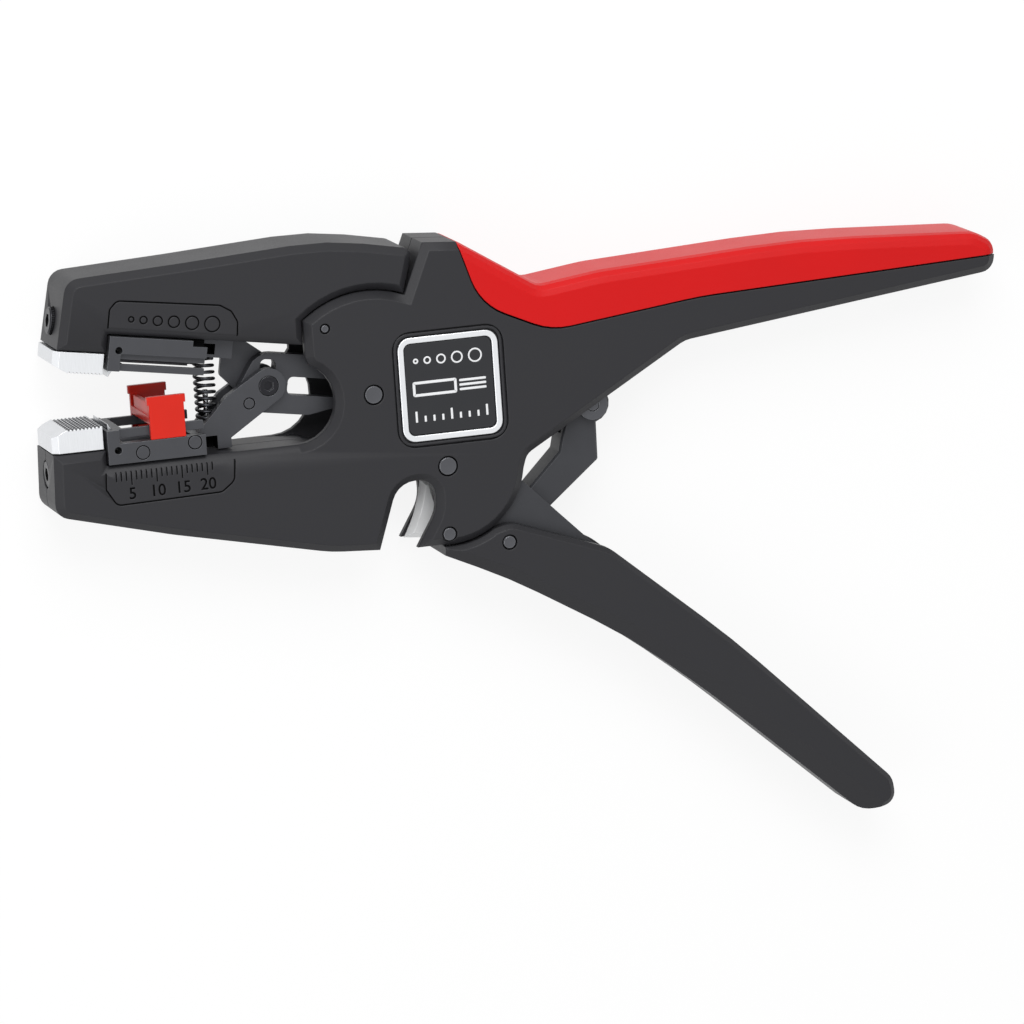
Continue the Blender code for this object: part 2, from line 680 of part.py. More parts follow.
def build_upper_jaw(jaw):
    """The upper jaw with its gripping jaw and screw."""
    body = plate("upper_jaw_body", upper_outline(), 0.0, WIDTH, CHAMFER)
    bridge = [*arc((0.0, 0.0), JAW_ARC + GAP + 0.4, 86, 127, 6), *arc((0.0, 0.0), JAW_ARC + 4.0, 127, 86, 6)]
    cut(body, *upper_hollows(), tang_slot(UPPER_SEAT, 1), *screw_bore(1))
    join(body, jaw_ear(EAR_LOW), jaw_ear(WIDTH - EAR_LOW - EAR))
    join(body, plate("ear_bridge", bridge, CHEEK - 1.0, EAR_LOW + EAR - 0.2))
    join(body, plate("ear_bridge", bridge, WIDTH - EAR_LOW - EAR + 0.2, WIDTH - CHEEK + 1.0))
    cut(body, pin_bore((0.0, 0.0), PIVOT_SHAFT))
    finish(body, jaw, black_plastic("upper_jaw_body"))
    steel = gripping_jaw("upper_gripping_jaw", UPPER_SEAT, UPPER_BITE, 1)
    finish(steel, jaw, bright_steel("upper_gripping_jaw"))
    finish(socket_screw("upper_jaw_screw", 1), jaw, dark_steel("upper_jaw_screw"))


# Pull rod

def build_rod(rod):
    """The pull rod from the tongs pivot, past the jaw pivot pin, to the crosshead."""
    tail = arc((CROSSHEAD_REACH, 0.0), BOSS_RADIUS - 0.4, 70, -70, 8)
    points = rounded([(-TONGS_REACH - 3.4, -5.6, 2.0), (-TONGS_REACH - 5.6, -1.0, 2.0),
                      (-TONGS_REACH - 2.4, 6.3, 4.5), (-11.0, 6.3, 3.0), (-5.0, 3.6, 3.0), *tail,
                      (-5.0, -3.6, 3.0), (-11.0, -5.6, 2.0)])
    body = plate("pull_rod", points, ROD_LOW, ROD_LOW + ROD)
    half = PIVOT_SHAFT + GAP
    window = rectangle(-half - ROD_TRAVEL - 1.0, -half, half + 0.4, half, half * 0.6)
    cut(body, plate("rod_window", window, 0.0, WIDTH))
    half = SMALL_SHAFT + GAP
    rear = CROSSHEAD_REACH + CROSSHEAD_PLAY + half
    slot = rectangle(CROSSHEAD_REACH - half, -half, rear, half, half * 0.6)
    cut(body, plate("crosshead_slot", slot, 0.0, WIDTH))
    cut(body, tongs_slot(0.0))
    finish(body, rod, dark_steel("pull_rod"))


def tongs_slot(extra):
    """The upright slot in which the tongs pin rises as the rod levels out."""
    half = TONGS_SHAFT + GAP + extra
    outline = rectangle(-TONGS_REACH - half, -half, -TONGS_REACH + half, TONGS_LIFT + half, half * 0.7)
    return plate("tongs_slot", outline, 0.0, WIDTH)


# Blade holders

def holder_body(name, side, seat):
    """A channel with two side walls, a web and a tail block, and a slot along its near wall."""
    rear = holder_rear()
    front = rear - HOLDER_LENGTH
    base = seat - GAP
    edge = UPPER_INNER if side > 0 else HOLDER_INNER
    wall = sorted((side * edge, side * base))
    body = block(name, (front, wall[0], GAP), (rear, wall[1], WIDTH - GAP))
    inner = sorted((0.0, side * (base - HOLDER_WEB)))
    cut(body, block(name + "_channel", (front + HOLDER_FRONT, inner[0], HOLDER_WALL + GAP),
                    (rear + 1.0, inner[1], WIDTH - HOLDER_WALL - GAP)))
    slot_top = HOLDER_INNER + HOLDER_RAIL
    span = sorted((side * slot_top, side * (slot_top + SLOT_HEIGHT)))
    cut(body, block(name + "_slot", (front + 2.4, span[0], -1.0), (rear + 1.0, span[1], WIDTH + 1.0)))
    rail_top = STOP_HEIGHT + BITE_DIP + GAP if side > 0 else slot_top + 0.1
    rail = sorted((side * (HOLDER_INNER - 1.0), side * rail_top))
    for low, high in ((-1.0, GAP + RAIL_RECESS), (WIDTH - GAP - RAIL_RECESS, WIDTH + 1.0)):
        cut(body, block(name + "_rail", (front + 2.4, rail[0], low), (rear + 1.0, rail[1], high)))
    tail = sorted((side * (base - TAIL_HEIGHT), side * base))
    join(body, block(name + "_tail", (rear - 2.0, tail[0], FAR_ARM_LOW),
                     (rear + HOLDER_TAIL, tail[1], NEAR_ARM_HIGH)))
    slit = sorted((-side * 1.0, side * (base - HOLDER_WEB)))
    cut(body, block(name + "_blade_slit", (front + 0.5, slit[0], HOLDER_WALL + GAP),
                    (front + 0.5 + BLADE + 2 * PIN_GAP, slit[1], WIDTH - HOLDER_WALL - GAP)))
    cut(body, barrel(name + "_pin_hole", (front + 2.0, side * (base - 2.7), -1.0),
                     (front + 2.0, side * (base - 2.7), WIDTH + 1.0), 0.75, 16))
    return body


def blade(name, side, seat):
    """A flat stripping blade across a holder, ground to an edge at the jaw axis."""
    front = -JAW_TIP + STEEL_LENGTH + GAP + 0.5 + PIN_GAP
    base = side * (seat - GAP - HOLDER_WEB - PIN_GAP)
    edge = side * BLADE_REACH
    shoulder = side * (BLADE_REACH + 1.2)
    low = HOLDER_WALL + GAP + PIN_GAP
    high = WIDTH - low
    return loft(name, [[(front, base, z), (front + BLADE, base, z), (front + BLADE, shoulder, z),
                        (front + 0.1, edge, z), (front, edge, z)] for z in (low, high)])


def lower_arm(low, high):
    """One arm from the lower blade holder to the tongs pivot."""
    eye_x, eye_y = tongs_place()
    rear = holder_rear()
    bottom = -LOWER_EDGE + GAP
    eye = arc((eye_x, eye_y), ARM_EYE, 128, -45, 10)
    start = rear - 1.0
    points = [(rear + HOLDER_TAIL - 2.6, bottom + 0.3), (start, bottom + 0.3), (start, bottom + 3.2),
              (rear + 3.3, -0.6, 2.0), (rear + 5.7, 2.0)]
    return plate("lower_arm", rounded([*points, *eye]), low, high)


def tongs_place():
    """Place of the tongs pin at rest."""
    turn = math.radians(-JAW_OPEN)
    return -TONGS_REACH * math.cos(turn), -TONGS_REACH * math.sin(turn)


def build_upper_holder(axis):
    """The upper blade holder, its blade and the pin that keeps the blade."""
    body = holder_body("upper_blade_holder", 1, UPPER_EDGE)
    rear = holder_rear()
    top = UPPER_EDGE - 1.0
    eye = arc((-TONGS_REACH, 0.0), ARM_EYE + 1.6, 75, -150, 12)
    beyond = rear + SPRING_STEP + 2 * SPRING_RADIUS + SPRING_WIRE + GAP
    start = rear + 1.0
    points = [(beyond, 1.0, 1.0), (beyond, 5.4), (start, 5.4), (start, top), (rear + 10.1, top, 1.0)]
    arm = plate("upper_arm", rounded([*eye, *points]), UPPER_ARM_LOW, UPPER_ARM_LOW + UPPER_ARM)
    join(body, arm)
    cut(body, tongs_slot(0.1))
    finish(body, axis, dark_steel("upper_blade_holder"))
    finish(blade("upper_blade", 1, UPPER_EDGE), axis, bright_steel("upper_blade"))


def build_lower_holder(axis):
    """The lower blade holder, its blade, the tongs pin, the coil spring and its guide."""
    body = holder_body("lower_blade_holder", -1, LOWER_EDGE)
    join(body, lower_arm(FAR_ARM_LOW, FAR_ARM_LOW + FAR_ARM), lower_arm(NEAR_ARM_LOW, NEAR_ARM_HIGH))
    cut(body, pin_bore(tongs_place(), TONGS_SHAFT))
    x, y = tongs_place()
    cut(body, barrel("tongs_head_seat", (x, y, NEAR_ARM_HIGH - 0.9), (x, y, WIDTH), TONGS_HEAD + PIN_GAP))
    finish(body, axis, dark_steel("lower_blade_holder"))
    finish(blade("lower_blade", -1, LOWER_EDGE), axis, bright_steel("lower_blade"))
    pin = barrel("tongs_pin", (x, y, FAR_ARM_LOW), (x, y, NEAR_ARM_HIGH - 0.3), TONGS_SHAFT, 24)
    join(pin, barrel("tongs_head", (x, y, NEAR_ARM_HIGH - 0.9 + PIN_GAP), (x, y, NEAR_ARM_HIGH), TONGS_HEAD))
    cut(pin, barrel("tongs_socket", (x, y, NEAR_ARM_HIGH - 0.8), (x, y, WIDTH), 1.1, 6))
    finish(pin, axis, dark_steel("tongs_pin"))


def holder_rear():
    """Rear of a blade holder's channel, along the jaw axis."""
    return -JAW_TIP + STEEL_LENGTH + GAP + HOLDER_LENGTH


def spring_place():
    """Middle of the coil spring, and the faces of the lower and upper tail that it lies between."""
    x = holder_rear() + SPRING_STEP + SPRING_RADIUS
    turn = math.radians(JAW_OPEN)
    nearest = x + SPRING_RADIUS + SPRING_WIRE / 2
    high = (UPPER_EDGE - GAP - TAIL_HEIGHT) / math.cos(turn) - nearest * math.tan(turn)
    return x, -LOWER_EDGE + GAP + TAIL_HEIGHT, high


def build_spring(axis):
    """The coil spring that spreads the blade holders, and the post inside it."""
    x, floor, roof = spring_place()
    low = floor + GAP + SPRING_WIRE / 2
    high = roof - GAP - SPRING_WIRE / 2
    count = SPRING_TURNS * COIL_STEPS
    middle = (FAR_ARM_LOW + FAR_ARM + NEAR_ARM_LOW) / 2
    points = []
    for k in range(count + 1):
        angle = 2 * math.pi * k / COIL_STEPS
        points.append((x + SPRING_RADIUS * math.cos(angle), low + (high - low) * k / count,
                       middle + SPRING_RADIUS * math.sin(angle)))
    spring = coil("holder_spring", points, SPRING_WIRE)
    finish(spring_mesh(spring), axis, dark_steel("holder_spring"), smooth=True)
    foot = floor + PIN_GAP
    post = barrel("spring_guide", (x, foot, middle), (x, foot + GUIDE_LENGTH, middle), GUIDE_RADIUS, 16)
    finish(post, axis, dark_steel("spring_guide"), smooth=True)


def spring_mesh(curve_object):
    """A coil made into a mesh with welded caps."""
    bpy.context.view_layer.update()
    evaluated = curve_object.evaluated_get(bpy.context.evaluated_depsgraph_get())
    mesh = bpy.data.meshes.new_from_object(evaluated)
    name = curve_object.name
    bpy.data.objects.remove(curve_object, do_unlink=True)
    work = bmesh.new()
    work.from_mesh(mesh)
    bmesh.ops.remove_doubles(work, verts=work.verts, dist=0.001 * MM)
    bmesh.ops.recalc_face_normals(work, faces=work.faces)
    work.to_mesh(mesh)
    work.free()
    return mesh_object(name, mesh)


def build_stop(axis):
    """The red length stop: two ears outside the rails, and the wall that the wire meets."""
    left = -JAW_TIP + STEEL_LENGTH + GAP + STOP_PLACE
    right = left + STOP_LENGTH
    foot = -HOLDER_INNER - HOLDER_RAIL - SLOT_HEIGHT + 0.1
    thick = RAIL_RECESS - GAP
    body = block("length_stop", (left, GAP - HOLDER_INNER, GAP),
                 (left + STOP_WALL, HOLDER_INNER - BITE_DIP - GAP, WIDTH - GAP))
    side = HOLDER_WALL + 2 * GAP
    join(body, block("stop_fence", (left + GAP, 0.0, side),
                     (left + STOP_WALL - 0.02, STOP_FENCE, WIDTH - side)))
    for low, high in ((GAP, GAP + thick), (WIDTH - GAP - thick, WIDTH - GAP)):
        join(body, block("stop_ear", (left, foot, low), (right, STOP_HEIGHT, high)))
        join(body, block("stop_head", (left - STOP_LIP, STOP_HEIGHT - STOP_HEAD, low + 0.02),
                         (right + STOP_LIP, STOP_HEIGHT - 0.02, high - 0.02)))
    for low, high in ((GAP, HOLDER_WALL), (WIDTH - HOLDER_WALL, WIDTH - GAP)):
        join(body, block("stop_foot", (left + 1.0, foot, low),
                         (right - 1.0, foot + SLOT_HEIGHT - 0.35, high)))
    finish(body, axis, red_plastic("length_stop"))


# Lever, strut and cutter

def lever_edge():
    """Lower edge of the lever from its heel to its end."""
    return [(12.6, -33.9), (25.4, -40.0, 150.0), (49.4, -54.8, 120.0), (65.2, -67.9, 200.0), LEVER_END]


def lever_outline():
    """Side view of the lever's shell."""
    radius = NOSE_RADIUS + LEVER_CLEARANCE
    nose = arc(LEVER_PIVOT, radius, -57, -95, 8)
    tip =[(*LEVER_END, 4.5), (LEVER_END[0] + 6.7, LEVER_END[1] + 1.6, 3.4),
           (LEVER_END[0] + 6.2, LEVER_END[1] + 6.6, 4.0)]
    top = [(70.2, -57.2, 200.0), (46.0, -36.0, 8.0), (26.2, -28.6, 5.0)]
    return rounded([*nose, *lever_edge()[:-1], *tip, *top])


def lever_hollow():
    """The channel in the lever, open along its upper edge."""
    floor = [(19.4, -33.5, 1.0), *beside(lever_edge(), LEVER_FLOOR)[1:-1]]
    end = (LEVER_END[0] - 4.8, LEVER_END[1] + 9.8, 2.0)
    mouth = [(98.0, -80.0), (75.0, -54.0), (42.0, -26.0), (22.0, -24.0), (16.0, -28.0)]
    return plate("lever_hollow", rounded([*floor, end, *mouth]), CHEEK, WIDTH - CHEEK)


def bevel_line():
    """The lower edge as a run of points, carried on past both of its ends."""
    line = [Vector(point[:2]) for point in lever_edge()]
    before = line[0] + (line[0] - line[1]).normalized() * BEVEL_END
    after = line[-1] + (line[-1] - line[-2]).normalized() * 2 * BEVEL_END
    return [before, *line, after]


def outer_bevels():
    """Two growing bevels along the lower edge, one on each side."""
    line = bevel_line()
    length = (line[-1] - line[0]).length
    inward = beside(line, 1.0)
    made = []
    for side in (0, 1):
        sections = []
        for point, inner in zip(line, inward):
            height = BEVEL_START + (BEVEL_END - BEVEL_START) * (point - line[0]).length / length
            ring = []
            for across, up in ((1.4, 0.4), (-0.4, -1.4), (-0.4, 0.4)):
                place = point + (Vector(inner) - point) * height * across
                rise = height * BEVEL_SLOPE * up
                ring.append((place.x, place.y, WIDTH + rise if side else -rise))
            sections.append(ring)
        made.append(loft("outer_bevel", sections))
    return made


def core_outline():
    """Side view of the lever core, from its eye into the shell."""
    eye = arc(LEVER_PIVOT, CORE_EYE, 215, 50, 12)
    limit = arc(LEVER_PIVOT, NOSE_RADIUS - 0.5, -74, -80, 2)
    return rounded([*eye, (29.2, -20.4, 1.5), (42.4, -34.0), (61.0, -53.0, 1.0), (60.0, -56.6, 1.0),
                    (44.6, -45.2), (28.4, -36.7), (19.6, -33.0), *limit])


def build_lever(axis):
    """The lever's shell, its core and the pin that carries the strut."""
    shell = plate("lever_shell", lever_outline(), 0.0, WIDTH, LEVER_EDGE)
    cut(shell, *outer_bevels(), lever_hollow(), pin_bore(STRUT_PIVOT, SMALL_HEAD))
    finish(shell, axis, black_plastic("lever_shell"))
    low = CHEEK + GAP
    core = plate("lever_core", core_outline(), low, WIDTH - low)
    channel = rounded([(9.0, -8.0), (33.0, -17.0), (64.0, -50.0), (60.6, -54.4), (46.5, -44.0), (44.0, -50.0),
                       (28.0, -45.0), (12.0, -34.0), (5.0, -20.0)])
    cut(core, plate("core_channel", channel, low + CORE_WALL, WIDTH - low - CORE_WALL))
    cut(core, pin_bore(LEVER_PIVOT, PIVOT_SHAFT), pin_bore(STRUT_PIVOT, SMALL_SHAFT))
    finish(core, axis, dark_steel("lever_core"))
    pin = stepped_pin("strut_pin", STRUT_PIVOT, SMALL_HEAD, SMALL_SHAFT)
    finish(pin, axis, dark_steel("strut_pin"), smooth=True)
    count = TORSION_TURNS * COIL_STEPS
    rise = (WIDTH - 2 * STRUT_SIDE - TORSION_WIRE) / count
    points = []
    for k in range(count + 1):
        angle = 2 * math.pi * k / COIL_STEPS
        points.append((LEVER_PIVOT[0] + TORSION_RADIUS * math.cos(angle),
                       LEVER_PIVOT[1] + TORSION_RADIUS * math.sin(angle),
                       STRUT_SIDE + TORSION_WIRE / 2 + rise * k))
    return coil("lever_spring", points, TORSION_WIRE)


def crosshead_place():
    """Place of the crosshead pin at rest."""
    turn = math.radians(-JAW_OPEN)
    return CROSSHEAD_REACH * math.cos(turn), CROSSHEAD_REACH * math.sin(turn)


def build_strut(axis):
    """The strut from the lever to the crosshead, with the crosshead pin and its two rollers."""
    x, y = crosshead_place()
    foot_x, foot_y = STRUT_PIVOT
    boss = arc((x, y), BOSS_RADIUS, -75, 165, 12)
    foot = arc(STRUT_PIVOT, STRUT_EYE, 135, 315, 8)
    points = [*foot, (foot_x + 10.4, foot_y + 5.4), (x + 0.9, y - 11.3, 0.6), *boss,
              (x - 6.4, y - 6.5, 0.6), (x - 7.0, y - 9.0, 0.6)]
    body = plate("strut", rounded(points), STRUT_SIDE, WIDTH - STRUT_SIDE, 0.4)
    deep = BOSS_RADIUS + FORK_DEPTH
    left = x - 2 * deep
    fork = [(left, y - deep), (x + deep, y - deep), (x + 3 * deep, y + 2 * deep), (left, y + 2 * deep)]
    cut(body, plate("strut_fork", fork, ROD_LOW - GAP, ROD_LOW + ROD + GAP))
    cut(body, barrel("foot_bore", (foot_x, foot_y, 0.0), (foot_x, foot_y, WIDTH), SMALL_SHAFT + PIN_GAP))
    cut(body, barrel("boss_bore", (x, y, 0.0), (x, y, WIDTH), SMALL_SHAFT + PIN_GAP))
    finish(body, axis, dark_steel("strut"))
    pin = barrel("crosshead_pin", (x, y, CHEEK + GAP), (x, y, WIDTH - CHEEK - GAP), SMALL_SHAFT, 24)
    finish(pin, axis, bright_steel("crosshead_pin"), smooth=True)
    layers = (("back_roller", CHEEK + GAP, STRUT_SIDE - GAP),
              ("front_roller", WIDTH - STRUT_SIDE + GAP, WIDTH - CHEEK - GAP))
    for name, low, high in layers:
        roller = barrel(name, (x, y, low), (x, y, high), ROLLER_RADIUS)
        cut(roller, barrel(name + "_bore", (x, y, low - 1.0), (x, y, high + 1.0), SMALL_SHAFT + PIN_GAP, 24))
        finish(roller, axis, dark_steel(name), smooth=True)


def build_cutter(axis):
    """The curved cutter blade on its own pin."""
    x, y = CUTTER_PIVOT
    eye = arc(CUTTER_PIVOT, CUTTER_EYE, -80, 60, 8)
    edge = arc((-17.5, -15.8), 28.0, -7, -32, 8)
    half = CUTTER_THICKNESS / 2
    body = plate("cutter_blade", [*reversed(edge), (12.6, -19.6), *reversed(eye)],
                 WIDTH / 2 - half, WIDTH / 2 + half, half - 0.1)
    cut(body, barrel("cutter_bore", (x, y, 0.0), (x, y, WIDTH), SMALL_SHAFT + PIN_GAP))
    finish(body, axis, bright_steel("cutter_blade"))


# Assembly

def centre_on_origin(tool_empty):
    """Put the middle of the tool's outline over the origin."""
    bpy.context.view_layer.update()
    graph = bpy.context.evaluated_depsgraph_get()
    corners = []
    for item in collection(PARTS).objects:
        if item.type != "MESH":
            continue
        evaluated = item.evaluated_get(graph)
        mesh = evaluated.to_mesh()
        corners.extend(evaluated.matrix_world @ vertex.co for vertex in mesh.vertices)
        evaluated.to_mesh_clear()
    for k in (0, 1):
        values = [point[k] for point in corners]
        tool_empty.location[k] -= (min(values) + max(values)) / 2
    bpy.context.view_layer.update()


def build():
    """Build every piece and hang it on its axis."""
    clear_scene()
    tool = axis_empty("tool_frame", None, (0.0, 0.0))
    jaw = axis_empty("upper_jaw_axis", tool, (0.0, 0.0), -JAW_OPEN)
    rod = axis_empty("pull_rod_axis", jaw, (-TONGS_REACH, 0.0))
    upper = axis_empty("upper_holder_axis", rod, (-TONGS_REACH, 0.0))
    lower = axis_empty("lower_holder_axis", tool, tongs_place())
    stop = axis_empty("length_stop_axis", lower, (-JAW_TIP + STEEL_LENGTH, 0.0))
    lever = axis_empty("lever_axis", tool, LEVER_PIVOT)
    strut = axis_empty("strut_axis", lever, STRUT_PIVOT)
    cutter = axis_empty("cutter_axis", tool, CUTTER_PIVOT)
    build_housing(tool)
    steel = gripping_jaw("lower_gripping_jaw", LOWER_SEAT, LOWER_BITE, -1)
    finish(steel, tool, bright_steel("lower_gripping_jaw"))
    finish(socket_screw("lower_jaw_screw", -1), tool, dark_steel("lower_jaw_screw"))
    build_upper_jaw(jaw)
    build_rod(rod)
    build_upper_holder(upper)
    build_lower_holder(lower)
    build_spring(lower)
    build_stop(stop)
    torsion = build_lever(lever)
    finish(spring_mesh(torsion), tool, dark_steel("lever_spring"), smooth=True)
    build_strut(strut)
    build_cutter(cutter)
    centre_on_origin(tool[0])


build()
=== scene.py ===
"""Looks of an automatic wire stripper: finishes, engraving, fasteners and the studio round it.

Places are in millimetres from the jaw pivot, as a maker would read them off the tool, with z = 0
on its back side. Places on the upper jaw are given for the closed jaw and turned open.
"""
import json
import logging
import math
from dataclasses import dataclass, field
from enum import Enum
from typing import Iterable, Sequence, Union

import bmesh
import bpy
from mathutils import Matrix, Vector

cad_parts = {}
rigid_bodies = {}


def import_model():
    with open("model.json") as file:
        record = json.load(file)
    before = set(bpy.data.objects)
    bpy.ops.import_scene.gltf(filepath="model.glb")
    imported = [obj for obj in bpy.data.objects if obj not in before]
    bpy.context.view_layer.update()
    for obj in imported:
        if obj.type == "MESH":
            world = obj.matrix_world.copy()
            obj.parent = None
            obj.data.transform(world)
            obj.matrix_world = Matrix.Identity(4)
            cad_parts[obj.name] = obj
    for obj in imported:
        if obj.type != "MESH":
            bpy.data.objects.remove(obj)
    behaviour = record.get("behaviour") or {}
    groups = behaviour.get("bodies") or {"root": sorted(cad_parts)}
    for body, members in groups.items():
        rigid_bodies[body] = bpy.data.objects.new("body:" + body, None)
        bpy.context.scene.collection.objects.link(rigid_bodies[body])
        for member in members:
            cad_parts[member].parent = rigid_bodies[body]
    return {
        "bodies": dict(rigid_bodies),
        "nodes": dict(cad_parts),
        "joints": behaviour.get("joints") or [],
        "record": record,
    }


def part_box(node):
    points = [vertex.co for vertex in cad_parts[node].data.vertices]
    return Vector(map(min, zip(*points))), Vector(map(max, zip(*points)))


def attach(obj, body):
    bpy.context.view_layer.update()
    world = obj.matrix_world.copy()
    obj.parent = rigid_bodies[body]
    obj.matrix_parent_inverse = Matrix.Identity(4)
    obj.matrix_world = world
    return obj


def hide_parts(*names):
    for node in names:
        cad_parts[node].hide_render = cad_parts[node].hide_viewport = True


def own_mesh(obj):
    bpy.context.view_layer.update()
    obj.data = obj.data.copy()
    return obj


LOG = logging.getLogger("wire_stripper")
MM = 0.001
IMAGE_SIZE = 1024
WELD = 0.002          # millimetres within which points of a copy are joined
SHARP_ANGLE = 20.0    # degrees above which an edge stays sharp
FIGURE_SCALE = 1.37   # size of the built-in lettering over the height of its figures
FIGURE_WEIGHT = 0.03  # how far the strokes of a figure are widened
REACH = 1.0           # millimetres by which a cutter stands out of the piece that it cuts
Number = Union[int, float]
Point = Sequence[float]


def srgb(red: int, green: int, blue: int) -> tuple[float, float, float, float]:
    """Turn a display colour into a linear one.

    Args:
        red: Red from 0 to 255.
        green: Green from 0 to 255.
        blue: Blue from 0 to 255.

    Returns:
        Linear red, green, blue and an alpha of 1.
    """
    def linear(value: int) -> float:
        share = value / 255
        return share / 12.92 if share <= 0.04045 else ((share + 0.055) / 1.055) ** 2.4
    return linear(red), linear(green), linear(blue), 1.0


def shaded(colour: Sequence[float], share: float) -> tuple[float, ...]:
    """A colour with its brightness scaled by a share."""
    return tuple(channel * share for channel in colour[:3]) + (1.0,)


# Shader graphs

class Signal:
    """A value socket that can be used in Python arithmetic."""

    def __init__(self, graph: "Graph", socket: bpy.types.NodeSocket) -> None:
        """Keep the graph and the socket."""
        self.graph = graph
        self.socket = socket

    def _math(self, operation: str, *values: Union["Signal", Number], clamp: bool = False) -> "Signal":
        """Add one Math node and return its result."""
        node = self.graph.node("ShaderNodeMath", {"operation": operation, "use_clamp": clamp},
                               dict(enumerate(values)))
        return Signal(self.graph, node.outputs[0])

    def __add__(self, other: Union["Signal", Number]) -> "Signal":
        """Sum."""
        return self._math("ADD", self, other)

    __radd__ = __add__

    def __sub__(self, other: Union["Signal", Number]) -> "Signal":
        """Difference."""
        return self._math("SUBTRACT", self, other)

    def __rsub__(self, other: Number) -> "Signal":
        """Difference from a number."""
        return self._math("SUBTRACT", other, self)

    def __mul__(self, other: Union["Signal", Number]) -> "Signal":
        """Product."""
        return self._math("MULTIPLY", self, other)

    __rmul__ = __mul__

    def clamped(self) -> "Signal":
        """This value kept between 0 and 1."""
        return self._math("ADD", self, 0.0, clamp=True)


class Graph:
    """A node tree that is wired from Python."""

    def __init__(self, tree: bpy.types.NodeTree) -> None:
        """Keep the tree."""
        self.tree = tree

    def node(self, kind: str, settings: dict | None = None, inputs: dict | None = None) -> bpy.types.Node:
        """Add any node.

        Args:
            kind: The node's type.
            settings: Properties of the node, which are set before its sockets.
            inputs: Socket name or index to a Signal, a socket or a plain value.

        Returns:
            The new node.
        """
        made = self.tree.nodes.new(kind)
        for key, value in (settings or {}).items():
            setattr(made, key, value)
        for key, value in (inputs or {}).items():
            self.feed(made.inputs[key], value)
        return made

    def feed(self, socket: bpy.types.NodeSocket, value: object) -> None:
        """Link or set one input socket.

        Args:
            socket: The input.
            value: A Signal or a socket to link, or a plain value to set.
        """
        if isinstance(value, Signal):
            value = value.socket
        if isinstance(value, bpy.types.NodeSocket):
            self.tree.links.new(value, socket)
        else:
            socket.default_value = value

    def shown_rays(self) -> Signal:
        """A value that is 1 for camera, gloss and transmission rays."""
        path = self.node("ShaderNodeLightPath")
        camera, gloss, through = (Signal(self, path.outputs[f"Is {ray} Ray"]) for ray in
                                  ("Camera", "Glossy", "Transmission"))
        return (camera + gloss + through).clamped()


class Surface(Graph):
    """The node tree of one material."""

    def __init__(self, name: str) -> None:
        """Start a material with a Principled shader."""
        self.material = bpy.data.materials.new(name)
        self.material.use_nodes = True
        super().__init__(self.material.node_tree)
        self.shader = self.tree.nodes["Principled BSDF"]

    def place(self, stretch: Point = (1.0, 1.0, 1.0)) -> bpy.types.NodeSocket:
        """Object coordinates in metres, stretched along each axis.

        Args:
            stretch: Share of the feature rate along each axis.

        Returns:
            The socket with the place.
        """
        coordinates = self.node("ShaderNodeTexCoord")
        mapping = self.node("ShaderNodeMapping", {}, {"Vector": coordinates.outputs["Object"],
                                                      "Scale": stretch})
        return mapping.outputs[0]

    def noise(self, size_mm: float, detail: float = 2.0, stretch: Point = (1.0, 1.0, 1.0)) -> Signal:
        """Noise with features of about this size.

        Args:
            size_mm: Width of a feature.
            detail: Octaves of finer noise.
            stretch: Share of the feature rate along each axis.

        Returns:
            A value that varies round 0.5.
        """
        made = self.node("ShaderNodeTexNoise", {}, {
            "Vector": self.place(stretch), "Scale": 1.0 / (size_mm * MM), "Detail": detail, "Roughness": 0.55})
        return Signal(self, made.outputs[0])

    def edges(self, radius_mm: float) -> tuple[Signal, bpy.types.NodeSocket]:
        """Mask of the sharp edges, and the softened normal there.

        Args:
            radius_mm: Radius over which an edge is softened.

        Returns:
            A mask that is 1 on edges, and the softened normal.
        """
        soft = self.node("ShaderNodeBevel", {"samples": 6}, {"Radius": radius_mm * MM}).outputs[0]
        flat = self.node("ShaderNodeNewGeometry").outputs["Normal"]
        dot = self.node("ShaderNodeVectorMath", {"operation": "DOT_PRODUCT"}, {0: soft, 1: flat})
        mask = (1 - Signal(self, dot.outputs["Value"])) * 6.0
        return mask.clamped(), soft

    def blend(self, factor: Union[Signal, Number], low: object, high: object) -> bpy.types.NodeSocket:
        """Mix two colours.

        Args:
            factor: 0 for the low colour and 1 for the high one.
            low: First colour.
            high: Second colour.

        Returns:
            The socket with the mixed colour.
        """
        made = self.node("ShaderNodeMix", {"data_type": "RGBA"}, {"Factor": factor, 6: low, 7: high})
        return made.outputs[2]

    def finish(self, **inputs: object) -> bpy.types.Material:
        """Feed the shader's sockets.

        Args:
            **inputs: Values by socket name, with underscores for spaces.

        Returns:
            The finished material.
        """
        for key, value in inputs.items():
            self.feed(self.shader.inputs[key.replace("_", " ")], value)
        return self.material

    def bump(self, height: Signal, distance_mm: float, strength: float, normal: object = None) -> object:
        """A bump over an optional softened normal.

        Args:
            height: Height of the surface, from 0 to 1.
            distance_mm: Height that 1 stands for.
            strength: Share of the bump that is used.
            normal: Normal that the bump is laid over.

        Returns:
            The socket with the bumped normal.
        """
        inputs = {"Height": height, "Distance": distance_mm * MM, "Strength": strength}
        if normal is not None:
            inputs["Normal"] = normal
        return self.node("ShaderNodeBump", {}, inputs).outputs[0]


# Finishes

